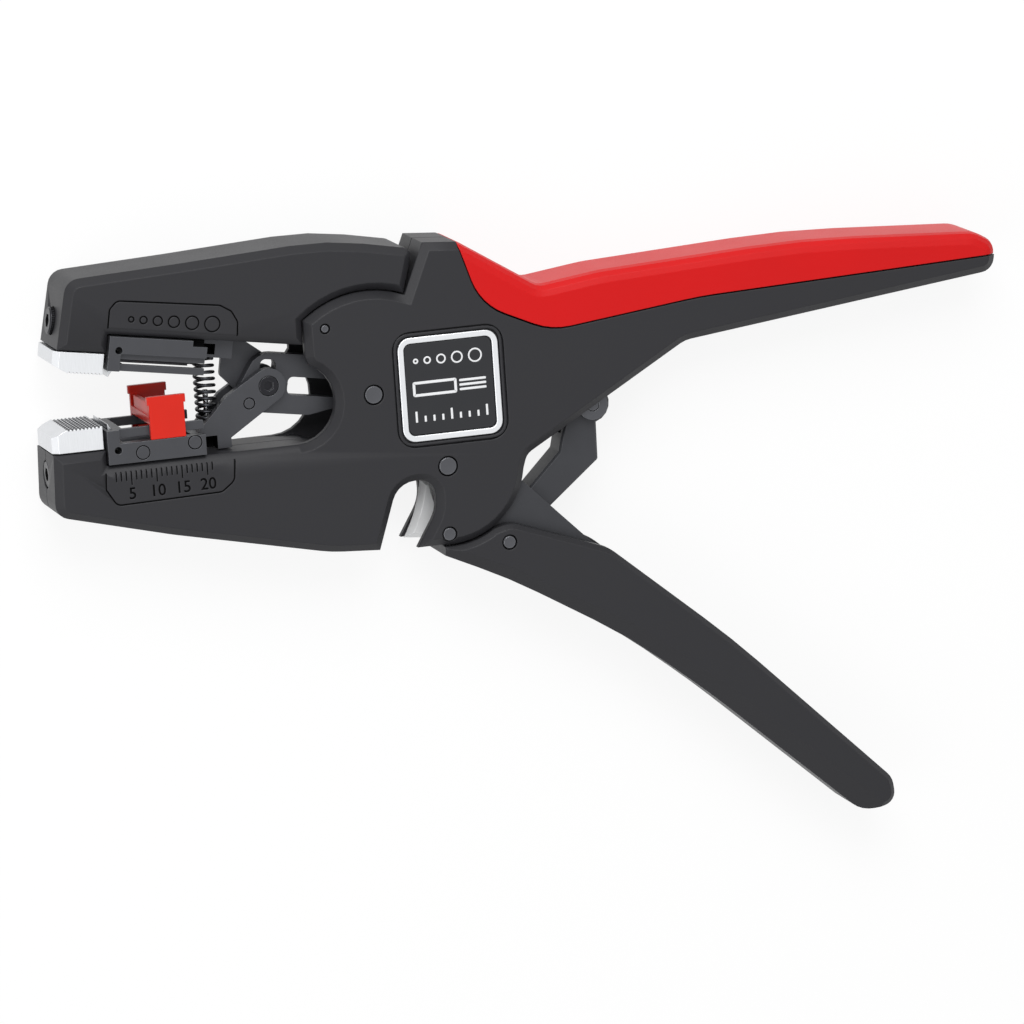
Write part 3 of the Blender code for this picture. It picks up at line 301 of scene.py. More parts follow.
@dataclass(frozen=True)
class MouldedPlastic:
    """Dark glass-filled plastic with a fine spark-eroded grain."""

    colour: tuple = srgb(41, 41, 44)
    rubbed: tuple = srgb(66, 67, 70)
    roughness: float = 0.46
    grain_mm: float = 0.32
    gloss: float = 0.24

    def material(self, name: str) -> bpy.types.Material:
        """Make the material.

        Args:
            name: Name of the material.

        Returns:
            The material.
        """
        graph = Surface(name)
        cloud = graph.noise(14.0, 3.0)
        grain = graph.noise(self.grain_mm, 2.0)
        speck = graph.noise(0.9, 2.0)
        edge, soft = graph.edges(0.35)
        tone = graph.blend((edge * 0.55 * speck).clamped(), self.colour, self.rubbed)
        dark = shaded(self.colour, 0.86)
        colour = graph.blend((cloud * 0.6 + grain * 0.25 - 0.2).clamped(), tone, dark)
        rough = self.roughness + (grain - 0.5) * 0.16 + (cloud - 0.5) * 0.12 - edge * 0.08
        height = grain * 0.75 + speck * 0.25
        normal = graph.bump(height, 0.05, 0.32, soft)
        return graph.finish(Base_Color=colour, Roughness=rough, Normal=normal, Specular_IOR_Level=self.gloss)


@dataclass(frozen=True)
class SoftGrip:
    """Red soft-touch rubber over the upper handle."""

    colour: tuple = srgb(203, 10, 12)
    shade: tuple = srgb(186, 8, 10)
    roughness: float = 0.42

    def material(self, name: str) -> bpy.types.Material:
        """Make the material.

        Args:
            name: Name of the material.

        Returns:
            The material.
        """
        graph = Surface(name)
        cloud = graph.noise(22.0, 3.0)
        grain = graph.noise(0.28, 2.0)
        _, soft = graph.edges(0.3)
        colour = graph.blend((cloud * 0.8 - 0.15 + grain * 0.15).clamped(), self.colour, self.shade)
        rough = self.roughness + (grain - 0.5) * 0.14 + (cloud - 0.5) * 0.1
        normal = graph.bump(grain, 0.03, 0.25, soft)
        return graph.finish(Base_Color=colour, Roughness=rough, Normal=normal, Specular_IOR_Level=0.25)


@dataclass(frozen=True)
class GroundSteel:
    """Bright steel with fine grinding lines along one direction."""

    colour: tuple = srgb(214, 216, 219)
    roughness: float = 0.26
    lines: tuple = (0.05, 1.0, 1.0)
    metallic: float = 1.0

    def material(self, name: str) -> bpy.types.Material:
        """Make the material.

        Args:
            name: Name of the material.

        Returns:
            The material.
        """
        graph = Surface(name)
        streak = graph.noise(0.12, 3.0, self.lines)
        cloud = graph.noise(5.0, 2.0)
        edge, soft = graph.edges(0.12)
        dull = shaded(self.colour, 0.72)
        colour = graph.blend((streak * 0.7 + cloud * 0.3).clamped(), self.colour, dull)
        rough = self.roughness + (streak - 0.5) * 0.22 + (cloud - 0.5) * 0.08 + edge * 0.05
        normal = graph.bump(streak, 0.012, 0.35, soft)
        return graph.finish(Base_Color=colour, Roughness=rough, Normal=normal, Metallic=self.metallic)


@dataclass(frozen=True)
class SinteredSteel:
    """Grey blackened steel with lighter rubbed edges."""

    colour: tuple = srgb(68, 69, 73)
    rubbed: tuple = srgb(112, 114, 118)
    metallic: float = 0.55
    roughness: float = 0.44

    def material(self, name: str) -> bpy.types.Material:
        """Make the material.

        Args:
            name: Name of the material.

        Returns:
            The material.
        """
        graph = Surface(name)
        cloud = graph.noise(4.0, 3.0)
        grain = graph.noise(0.22, 2.0)
        edge, soft = graph.edges(0.15)
        dark = shaded(self.colour, 0.78)
        base = graph.blend((cloud * 0.9 - 0.1).clamped(), self.colour, dark)
        colour = graph.blend((edge * (0.3 + cloud * 0.7)).clamped(), base, self.rubbed)
        rough = self.roughness + (grain - 0.5) * 0.16 - edge * 0.1
        normal = graph.bump(grain, 0.02, 0.3, soft)
        return graph.finish(Base_Color=colour, Roughness=rough, Normal=normal, Metallic=self.metallic)


@dataclass(frozen=True)
class GlossPlastic:
    """Smooth moulded plastic of one colour."""

    colour: tuple = srgb(206, 34, 18)
    roughness: float = 0.34

    def material(self, name: str) -> bpy.types.Material:
        """Make the material.

        Args:
            name: Name of the material.

        Returns:
            The material.
        """
        graph = Surface(name)
        cloud = graph.noise(6.0, 2.0)
        grain = graph.noise(0.3, 2.0)
        edge, soft = graph.edges(0.2)
        deep = shaded(self.colour, 0.84)
        colour = graph.blend((cloud * 0.8 - 0.1).clamped(), self.colour, deep)
        rough = self.roughness + (grain - 0.5) * 0.12 + edge * 0.04
        normal = graph.bump(grain, 0.012, 0.2, soft)
        return graph.finish(Base_Color=colour, Roughness=rough, Normal=normal, Specular_IOR_Level=0.28)


class Finish(Enum):
    """The finishes of the tool and how each is made."""

    CHARCOAL = MouldedPlastic()
    GRIP = SoftGrip()
    BRIGHT = GroundSteel()
    BRIGHT_ACROSS = GroundSteel(lines=(1.0, 1.0, 0.05))
    PIN = SinteredSteel(colour=srgb(86, 87, 91), rubbed=srgb(150, 151, 155), metallic=0.8, roughness=0.36)
    HOLDER = SinteredSteel()
    STRUT = SinteredSteel(colour=srgb(54, 55, 59), rubbed=srgb(92, 93, 97), metallic=0.4, roughness=0.48)
    SCREW = SinteredSteel(colour=srgb(40, 40, 44), rubbed=srgb(120, 121, 125), metallic=0.8, roughness=0.34)
    STOP = GlossPlastic()
    FIELD = GlossPlastic(colour=srgb(40, 41, 44), roughness=0.3)
    PRINT = GlossPlastic(colour=srgb(232, 233, 235), roughness=0.5)
    JAW_STEEL = GroundSteel(colour=srgb(240, 242, 245), roughness=0.34, lines=(1.0, 0.05, 1.0))
    # Cutter steel made pale and mostly non-metallic so the blade reads bright in the shaded pocket between the
    # cheeks: painted light.
    CUTTER = GroundSteel(colour=srgb(240, 241, 242), roughness=0.4, lines=(1.0, 1.0, 0.05), metallic=0.25)
    # Near-black walls of cuts: painted shade in engraved lines, round marks, notches, knurls and sockets.
    RECESS = MouldedPlastic(colour=srgb(10, 10, 11), rubbed=srgb(16, 16, 17), roughness=0.7, gloss=0.08)
    SPRING = SinteredSteel(colour=srgb(48, 49, 53), rubbed=srgb(120, 121, 125), metallic=0.85, roughness=0.34)


SLOTS = {
    Finish.CHARCOAL: "charcoal_plastic", Finish.GRIP: "soft_grip", Finish.BRIGHT: "ground_steel",
    Finish.BRIGHT_ACROSS: "ground_steel", Finish.JAW_STEEL: "ground_steel", Finish.PIN: "ground_steel",
    Finish.SPRING: "ground_steel", Finish.HOLDER: "dark_steel", Finish.STRUT: "dark_steel",
    Finish.SCREW: "dark_steel", Finish.STOP: "red_plastic", Finish.FIELD: "plate_field",
    Finish.PRINT: "plate_field", Finish.CUTTER: "ground_steel", Finish.RECESS: "charcoal_plastic",
}

CARRIED = {
    "housing_front": Finish.CHARCOAL, "housing_back": Finish.CHARCOAL, "soft_grip": Finish.GRIP,
    "upper_jaw_body": Finish.CHARCOAL, "lever_shell": Finish.CHARCOAL,
    "lower_gripping_jaw": Finish.BRIGHT, "upper_gripping_jaw": Finish.BRIGHT,
    "lower_jaw_screw": Finish.SCREW, "upper_jaw_screw": Finish.SCREW,
    "jaw_pivot_pin": Finish.PIN, "lever_pivot_pin": Finish.PIN, "cutter_pivot_pin": Finish.PIN,
    "spring_anchor_pin": Finish.PIN, "strut_pin": Finish.PIN, "crosshead_pin": Finish.PIN,
    "plate_frame": Finish.BRIGHT, "plate_field": Finish.FIELD, "lever_spring": Finish.BRIGHT,
    "pull_rod": Finish.HOLDER, "upper_blade_holder": Finish.HOLDER, "lower_blade_holder": Finish.HOLDER,
    "upper_blade": Finish.BRIGHT_ACROSS, "lower_blade": Finish.BRIGHT_ACROSS, "tongs_pin": Finish.SCREW,
    "holder_spring": Finish.SCREW, "spring_guide": Finish.BRIGHT, "length_stop": Finish.STOP,
    "lever_core": Finish.STRUT, "strut": Finish.STRUT, "back_roller": Finish.PIN, "front_roller": Finish.PIN,
    "cutter_blade": Finish.CUTTER,
}


class Palette:
    """Materials that are made once, when first asked for."""

    def __init__(self) -> None:
        """Start empty."""
        self._made: dict[Finish, bpy.types.Material] = {}

    def __getitem__(self, finish: Finish) -> bpy.types.Material:
        """The material of a finish.

        Args:
            finish: The finish.

        Returns:
            Its material.
        """
        if finish not in self._made:
            self._made[finish] = finish.value.material(finish.name.lower())
        return self._made[finish]


# Frame

@dataclass
class Bench:
    """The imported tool, its jaw pivot and the palette that dresses it."""

    frame: dict
    palette: Palette = field(default_factory=Palette)

    def joint(self, name: str) -> dict:
        """One joint of the record."""
        return next(joint for joint in self.frame["joints"] if joint["name"] == name)

    @property
    def pivot(self) -> Vector:
        """Jaw pivot in the row frame."""
        return Vector(self.joint("upper_jaw_hinge")["pos_m"])

    @property
    def jaw_open(self) -> float:
        """Angle between the jaws at rest, in radians, from the rod's direction."""
        axis = self.joint("rod_slide")["axis"]
        return -math.atan2(axis[1], axis[0])

    def tool_matrix(self) -> Matrix:
        """From the tool's place in metres to the row frame."""
        return Matrix.Translation(self.pivot)

    def jaw_matrix(self) -> Matrix:
        """From the closed upper jaw's place in metres to the row frame."""
        return self.tool_matrix() @ Matrix.Rotation(-self.jaw_open, 4, "Z")

    def dress(self, node: str, finish: Finish) -> None:
        """Give a carried solid its material.

        Args:
            node: Name of the solid.
            finish: Its finish.
        """
        item = self.frame["nodes"][node]
        item.data.materials.clear()
        item.data.materials.append(self.palette[finish])
        LOG.info("dressed %s in %s", node, finish.name)

    def copy(self, node: str, name: str) -> bpy.types.Object:
        """A welded copy of a carried solid, ready to be carved.

        Args:
            node: Name of the solid.
            name: Name of the copy.

        Returns:
            The linked copy, in the solid's own finish.
        """
        work = bmesh.new()
        work.from_mesh(self.frame["nodes"][node].data)
        bmesh.ops.remove_doubles(work, verts=work.verts, dist=WELD * MM)
        bmesh.ops.dissolve_limit(work, angle_limit=math.radians(0.2), verts=work.verts, edges=work.edges)
        made = link(name, work)
        made.data.materials.append(self.palette[CARRIED[node]])
        return made

    @property
    def recess(self) -> bpy.types.Material:
        """The near-black walls of cuts: painted shade in engraved lines, round marks, notches, knurls and
        sockets.
        """
        return self.palette[Finish.RECESS]

    def hand_over(self, piece: bpy.types.Object, body: str, finish: Finish, *nodes: str) -> bpy.types.Object:
        """Dress a piece, let it ride on a body and let it stand for carried solids.

        Args:
            piece: The finished mesh object.
            body: The body that it moves with.
            finish: Its finish.
            nodes: The carried solids that it replaces.

        Returns:
            The piece.
        """
        if piece.data.materials:
            piece.data.materials[0] = self.palette[finish]
        else:
            piece.data.materials.append(self.palette[finish])
        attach(piece, body)
        SLOTS[finish]
        if nodes:
            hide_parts(*nodes)
        LOG.info("made %s on %s", piece.name, body)
        return piece


# Outlines and solids

def arc(centre: Point, radius: float, start: float, end: float, steps: int) -> list[Point]:
    """Points on an arc.

    Args:
        centre: Middle of the arc.
        radius: Its radius.
        start: Angle of the first point in degrees.
        end: Angle of the last point in degrees.
        steps: Straight runs along the arc.

    Returns:
        The points.
    """
    angles = [math.radians(start + (end - start) * k / steps) for k in range(steps + 1)]
    return [(centre[0] + radius * math.cos(a), centre[1] + radius * math.sin(a)) for a in angles]


def rounded(points: Sequence[Point], steps: int = 6) -> list[Point]:
    """An outline with round corners.

    Args:
        points: Corners as x, y and a corner radius.
        steps: Straight runs in each corner.

    Returns:
        The points of the outline.
    """
    made = []
    for k, (x, y, radius) in enumerate(points):
        here = Vector((x, y))
        back = Vector(points[k - 1][:2]) - here
        ahead = Vector(points[(k + 1) % len(points)][:2]) - here
        reach = min(radius / math.tan(back.angle(ahead) / 2), 0.49 * back.length, 0.49 * ahead.length)
        first = here + back.normalized() * reach
        last = here + ahead.normalized() * reach
        for step in range(steps + 1):
            t = step / steps
            made.append(tuple(first * (1 - t) ** 2 + here * 2 * t * (1 - t) + last * t ** 2))
    return made


def frame_outline(low: Point, high: Point, radius: float) -> list[Point]:
    """A rectangle with round corners.

    Args:
        low: Lower left corner.
        high: Upper right corner.
        radius: Corner radius.

    Returns:
        The points of the outline.
    """
    corners_of = ((low[0], low[1]), (high[0], low[1]), (high[0], high[1]), (low[0], high[1]))
    return rounded([(x, y, radius) for x, y in corners_of])


def widened(outline: Sequence[Point], distance: float) -> list[Point]:
    """An outline moved outwards.

    Args:
        outline: Points that run counter-clockwise.
        distance: How far each point moves.

    Returns:
        The moved points.
    """
    made = []
    for k, point in enumerate(outline):
        along = Vector(outline[(k + 1) % len(outline)]) - Vector(outline[k - 1])
        along.normalize()
        made.append((point[0] + along.y * distance, point[1] - along.x * distance))
    return made


def add_prism(work: bmesh.types.BMesh, outline: Sequence[Point], low: float, high: float) -> None:
    """Add an upright prism.

    Args:
        work: The mesh to add to.
        outline: Points of its closed outline.
        low: Height of its floor.
        high: Height of its roof.
    """
    floor = [work.verts.new((x, y, low)) for x, y in outline]
    roof = [work.verts.new((x, y, high)) for x, y in outline]
    work.faces.new(floor[::-1])
    work.faces.new(roof)
    for k in range(len(outline)):
        after = (k + 1) % len(outline)
        work.faces.new((floor[k], floor[after], roof[after], roof[k]))


def add_ring(work: bmesh.types.BMesh, inner: Sequence[Point], outer: Sequence[Point], low: float,
             high: float) -> None:
    """Add an upright wall between two outlines.

    Args:
        work: The mesh to add to.
        inner: Points of the inner outline.
        outer: As many points of the outer outline.
        low: Height of the wall's foot.
        high: Height of its top.
    """
    rings = [[work.verts.new((x, y, z)) for x, y in line] for line, z in
             ((outer, low), (outer, high), (inner, high), (inner, low))]
    for near, far in zip(rings, rings[1:] + rings[:1]):
        for k in range(len(near)):
            after = (k + 1) % len(near)
            work.faces.new((near[k], near[after], far[after], far[k]))


def add_wedge(work: bmesh.types.BMesh, section: Sequence[Point], start: Point, end: Point,
              across: Point) -> None:
    """Add a straight bar with a flat section.

    Args:
        work: The mesh to add to.
        section: Points as distance along across and height along Y.
        start: First end of the bar.
        end: Last end of the bar.
        across: Direction in which the section is wide.
    """
    loops = []
    for place in (start, end):
        loops.append([work.verts.new(Vector(place) + Vector(across) * u + Vector((0.0, v, 0.0)))
                      for u, v in section])
    near, far = loops
    work.faces.new(near)
    work.faces.new(far[::-1])
    for k in range(len(section)):
        after = (k + 1) % len(section)
        work.faces.new((near[k], far[k], far[after], near[after]))


def link(name: str, work: bmesh.types.BMesh) -> bpy.types.Object:
    """Turn a bmesh into a linked object with outward faces.

    Args:
        name: Name of the object.
        work: Its faces, which are freed.

    Returns:
        The object.
    """
    bmesh.ops.recalc_face_normals(work, faces=work.faces)
    mesh = bpy.data.meshes.new(name)
    work.to_mesh(mesh)
    work.free()
    made = bpy.data.objects.new(name, mesh)
    bpy.context.scene.collection.objects.link(made)
    return made


def settle(item: bpy.types.Object) -> bpy.types.Object:
    """Apply the modifiers of an object and smooth its round faces.

    Args:
        item: The object.

    Returns:
        The same object with a new mesh.
    """
    bpy.context.view_layer.update()
    evaluated = item.evaluated_get(bpy.context.evaluated_depsgraph_get())
    mesh = bpy.data.meshes.new_from_object(evaluated)
    item.modifiers.clear()
    item.data = mesh
    mesh.shade_smooth()
    mesh.set_sharp_from_angle(angle=math.radians(SHARP_ANGLE))
    return item


def carve(item: bpy.types.Object, cutter: bpy.types.Object,
          walls: bpy.types.Material | None = None) -> bpy.types.Object:
    """Take a cutter away from an object and drop the cutter.

    Args:
        item: The object that is cut.
        cutter: The solid that is taken away.
        walls: Material of the new faces, if it isn't the object's own.

    Returns:
        The object.
    """
    if walls is not None:
        cutter.data.materials.append(walls)
    modifier = item.modifiers.new("carve", "BOOLEAN")
    modifier.operation = "DIFFERENCE"
    modifier.solver = "EXACT"
    modifier.material_mode = "TRANSFER" if walls is not None else "INDEX"
    modifier.object = cutter
    settle(item)
    bpy.data.objects.remove(cutter, do_unlink=True)
    return item


def soften(item: bpy.types.Object, width_mm: float, segments: int = 2) -> bpy.types.Object:
    """Round the sharp edges of an object.

    Args:
        item: The object.
        width_mm: Width of the rounding.
        segments: Faces across it.

    Returns:
        The object.
    """
    modifier = item.modifiers.new("soften", "BEVEL")
    modifier.width = width_mm * MM
    modifier.segments = segments
    modifier.limit_method = "ANGLE"
    modifier.angle_limit = math.radians(SHARP_ANGLE)
    return settle(item)


@dataclass
class Place:
    """Turns work in millimetres, in one frame of the tool, into linked objects."""

    matrix: Matrix

    def link(self, name: str, work: bmesh.types.BMesh) -> bpy.types.Object:
        """Scale the work to metres and set it in place as an object."""
        work.transform(self.matrix @ Matrix.Scale(MM, 4))
        return link(name, work)

    def prism(self, name: str, outline: Sequence[Point], low: float, high: float) -> bpy.types.Object:
        """An upright prism as an object.

        Args:
            name: Name of the object.
            outline: Points of its outline.
            low: Height of its floor.
            high: Height of its roof.

        Returns:
            The object.
        """
        work = bmesh.new()
        add_prism(work, outline, low, high)
        return self.link(name, work)

    def ring(self, name: str, inner: Sequence[Point], outer: Sequence[Point], low: float,
             high: float) -> bpy.types.Object:
        """An upright wall between two outlines, as an object.

        Args:
            name: Name of the object.
            inner: Points of the inner outline.
            outer: As many points of the outer outline.
            low: Height of its foot.
            high: Height of its top.

        Returns:
            The object.
        """
        work = bmesh.new()
        add_ring(work, inner, outer, low, high)
        return self.link(name, work)

    def turned(self, name: str, centre: Point, profile: Sequence[Point], sides: int = 48) -> bpy.types.Object:
        """A turned piece on an upright axis.

        Args:
            name: Name of the piece.
            centre: Place of the axis.
            profile: Radius and height from the lower end to the upper one, both on the axis.
            sides: Faces round the axis.

        Returns:
            The linked piece.
        """
        work = bmesh.new()
        ends = [work.verts.new((*centre, profile[0][1])), work.verts.new((*centre, profile[-1][1]))]
        rings = []
        for radius, height in profile[1:-1]:
            rings.append([work.verts.new((x, y, height)) for x, y in arc(centre, radius, 0, 360, sides)[:-1]])
        for k in range(sides):
            after = (k + 1) % sides
            work.faces.new((ends[0], rings[0][after], rings[0][k]))
            work.faces.new((ends[1], rings[-1][k], rings[-1][after]))
            for near, far in zip(rings, rings[1:]):
                work.faces.new((near[k], near[after], far[after], far[k]))
        return settle(self.link(name, work))

    def figures(self, text: str, centre: Point, height: float, low: float, high: float) -> bpy.types.Object:
        """Plain figures as an upright solid.

        Args:
            text: The figures.
            centre: Middle of their foot.
            height: Height of a figure.
            low: Height of the solid's floor.
            high: Height of its roof.

        Returns:
            The linked solid.
        """
        curve = bpy.data.curves.new("figures", "FONT")
        curve.body = text
        curve.size = height * FIGURE_SCALE
        curve.align_x = "CENTER"
        curve.extrude = (high - low) / 2
        curve.resolution_u = 3
        curve.offset = FIGURE_WEIGHT
        item = bpy.data.objects.new("figures", curve)
        bpy.context.scene.collection.objects.link(item)
        bpy.context.view_layer.update()
        mesh = bpy.data.meshes.new_from_object(item.evaluated_get(bpy.context.evaluated_depsgraph_get()))
        bpy.data.objects.remove(item, do_unlink=True)
        work = bmesh.new()
        work.from_mesh(mesh)
        bmesh.ops.remove_doubles(work, verts=work.verts, dist=WELD)
        bmesh.ops.translate(work, verts=work.verts, vec=(centre[0], centre[1], (low + high) / 2))
        return self.link("figures", work)


# Sub-assemblies

@dataclass
class Engraving:
    """Lines, figures and rings cut into the near side of the two jaws."""

    bench: Bench
    width: float = 18.0
    line: float = 0.3
    depth: float = 0.3
    lower_panel: tuple = ((-54.5, -8.0, 0.2), (-54.8, -12.8, 0.2), (-52.9, -16.0, 1.6), (-31.9, -15.6, 1.8),
                          (-29.4, -13.7, 1.8), (-28.9, -8.0, 0.2))
    upper_panel: tuple = ((-28.6, 8.0, 0.2), (-28.9, 12.9, 1.6), (-30.3, 14.8, 1.0), (-32.6, 15.8, 1.6),
                          (-53.2, 15.5, 1.6), (-54.4, 13.8, 1.2), (-54.4, 8.0, 0.2))
    scale_start: tuple = (-52.8, -9.3)
    scale_end: tuple = (-33.5, -9.0)
    first_mark: int = 2
    last_mark: int = 21
    short_mark: float = 2.2
    long_mark: float = 3.1
    figure_height: float = 2.4
    figure_drop: float = 5.9
    mark_half: float = 0.11
    dot_count: int = 6
    dot_start: tuple = (-50.6, 12.2)
    dot_radius: float = 0.55
    dot_growth: float = 0.2
    dot_gap: float = 1.15
    dot_line: tuple = (-0.18, 0.1)
    dot_depth: float = 0.24

    def scale(self, place: Place) -> list[bpy.types.Object]:
        """Cutters for the millimetre scale and its figures.

        Args:
            place: Frame of the lower jaw.

        Returns:
            One cutter for each number and one for all the marks.
        """
        work = bmesh.new()
        made = []
        count = self.last_mark - self.first_mark
        half = self.mark_half
        for k in range(count + 1):
            share = k / count
            x = self.scale_start[0] + (self.scale_end[0] - self.scale_start[0]) * share
            top = self.scale_start[1] + (self.scale_end[1] - self.scale_start[1]) * share
            number = self.first_mark + k
            whole = number % 5 == 0
            length = self.long_mark if whole else self.short_mark
            line = [(x - half, top - length), (x + half, top - length), (x + half, top), (x - half, top)]
            add_prism(work, line, self.width - self.depth, self.width + REACH)
            if whole:
                made.append(place.figures(str(number), (x, top - self.figure_drop), self.figure_height,
                                          self.width - self.depth, self.width + REACH))
        made.append(place.link("marks", work))
        return made

    def panel(self, place: Place, corners_of: Sequence[Point], name: str) -> bpy.types.Object:
        """Cutter for the line round a panel.

        Args:
            place: Frame of the jaw.
            corners_of: Corners of the panel with their radii.
            name: Name of the cutter.

        Returns:
            The cutter.
        """
        outline = rounded(corners_of)
        around = widened(outline, self.line)
        return place.ring(name, outline, around, self.width - self.depth, self.width + REACH)

    def dots(self, place: Place) -> bpy.types.Object:
        """Cutter for a row of rings that grow from thin wire to thick wire.

        Args:
            place: Frame of the upper jaw.

        Returns:
            The cutter.
        """
        work = bmesh.new()
        x, y = self.dot_start
        for k in range(self.dot_count):
            radius = self.dot_radius + self.dot_growth * k
            x += radius
            inner, outer = (arc((x, y), radius + share, 0, 360, 28)[:-1] for share in self.dot_line)
            add_ring(work, inner, outer, self.width - self.dot_depth, self.width + REACH)
            x += radius + self.dot_gap
        return place.link("dots", work)

    def build(self) -> None:
        """Carve the front half of the housing and the upper jaw."""
        tool = Place(self.bench.tool_matrix())
        jaw = Place(self.bench.jaw_matrix())
        front = self.bench.copy("housing_front", "housing_front_shell")
        # The walls of the cut lines, figures and rings are near-black: painted shade.
        dark = self.bench.recess
        carve(front, self.panel(tool, self.lower_panel, "lower_panel_line"), dark)
        for cutter in self.scale(tool):
            carve(front, cutter, dark)
        self.bench.hand_over(front, "root", Finish.CHARCOAL, "housing_front")
        upper = self.bench.copy("upper_jaw_body", "upper_jaw_shell")
        carve(upper, self.panel(jaw, self.upper_panel, "upper_panel_line"), dark)
        carve(upper, self.dots(jaw), dark)
        self.bench.hand_over(upper, "upper_jaw", Finish.CHARCOAL, "upper_jaw_body")


@dataclass
class Pins:
    """Pins with chamfered heads that stand in their bores with a dark line round them."""

    bench: Bench
    cheek: float = 3.0
    ring: float = 0.1
    chamfer: float = 0.16
    neck: float = 0.2
    dish: float = 0.04
    bodies: tuple = (("jaw_pivot_pin", "root", 1.5), ("lever_pivot_pin", "root", 1.5),
                     ("cutter_pivot_pin", "root", 1.15), ("spring_anchor_pin", "root", 0.7),
                     ("strut_pin", "lower_lever", 1.15))

    def build(self) -> None:
        """Turn each pin from the box of its carried solid."""
        place = Place(Matrix.Identity(4))
        for node, body, shaft in self.bodies:
            low, high = (Vector(corner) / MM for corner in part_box(node))
            head = (high.x - low.x) / 2 - self.ring
            centre = ((low.x + high.x) / 2, (low.y + high.y) / 2)
            rim = head - self.chamfer
            floor = high.z - self.dish
            profile = [(0.0, low.z + 0.05), (rim, low.z), (head, low.z + self.chamfer), (head, self.cheek),
                       (shaft, self.cheek + self.neck), (shaft, high.z - self.cheek - self.neck),
                       (head, high.z - self.cheek), (head, high.z - self.chamfer), (rim, high.z),
                       (rim - self.neck, floor), (0.0, floor)]
            piece = place.turned(node + "_turned", centre, profile)
            self.bench.hand_over(piece, body, Finish.PIN, node)


@dataclass
class GrippingJaws:
    """Ground steel jaws with a grid of fine teeth on the biting faces, whose groove walls take darker pin steel
    as painted shade.
    """

    bench: Bench
    tip: float = 64.6
    length: float = 10.1
    lead: float = 3.0
    low: float = 1.5
    high: float = 16.5
    pitch: float = 0.75
    row_pitch: float = 1.5
    tooth: float = 0.34
    tooth_half: float = 0.3
    tooth_lift: float = 0.06

    def teeth(self, place: Place, bite: float, side: int) -> list[bpy.types.Object]:
        """Cutters for grooves across the jaw, and for grooves along it.

        Args:
            place: Frame of the jaw.
            bite: Distance of the biting face from the jaw axis.
            side: -1 for the lower jaw, 1 for the upper one.

        Returns:
            One cutter for each direction.
        """
        across = bmesh.new()
        face = side * bite
        lift = -side * self.tooth_lift
        section = [(-self.tooth_half, lift), (self.tooth_half, lift), (0.0, side * self.tooth)]
        count = int((self.length - self.lead) / self.pitch)
        for k in range(count):
            x = -self.tip + self.lead + self.pitch * (k + 0.6)
            add_wedge(across, section, (x, face, self.low - REACH), (x, face, self.high + REACH),
                      (1.0, 0.0, 0.0))
        along = bmesh.new()
        count = int((self.high - self.low) / self.row_pitch) - 1
        for k in range(count):
            z = self.low + self.row_pitch * (k + 1.2)
            rear = -self.tip + self.length + REACH
            add_wedge(along, section, (-self.tip + self.lead, face, z), (rear, face, z), (0.0, 0.0, 1.0))
        return [place.link("teeth_across", across), place.link("teeth_along", along)]

    def build(self) -> None:
        """Cut the grooves of both jaws."""
        jaws = (("lower_gripping_jaw", Place(self.bench.tool_matrix()), 0.5, -1, "root"),
                ("upper_gripping_jaw", Place(self.bench.jaw_matrix()), 0.8, 1, "upper_jaw"))
        for node, place, bite, side, body in jaws:
            piece = self.bench.copy(node, node + "_toothed")
            for cutter in self.teeth(place, bite, side):
                # Groove walls in the darker pin steel: painted shade in the teeth.
                carve(piece, cutter, self.bench.palette[Finish.PIN])
            self.bench.hand_over(piece, body, Finish.JAW_STEEL, node)


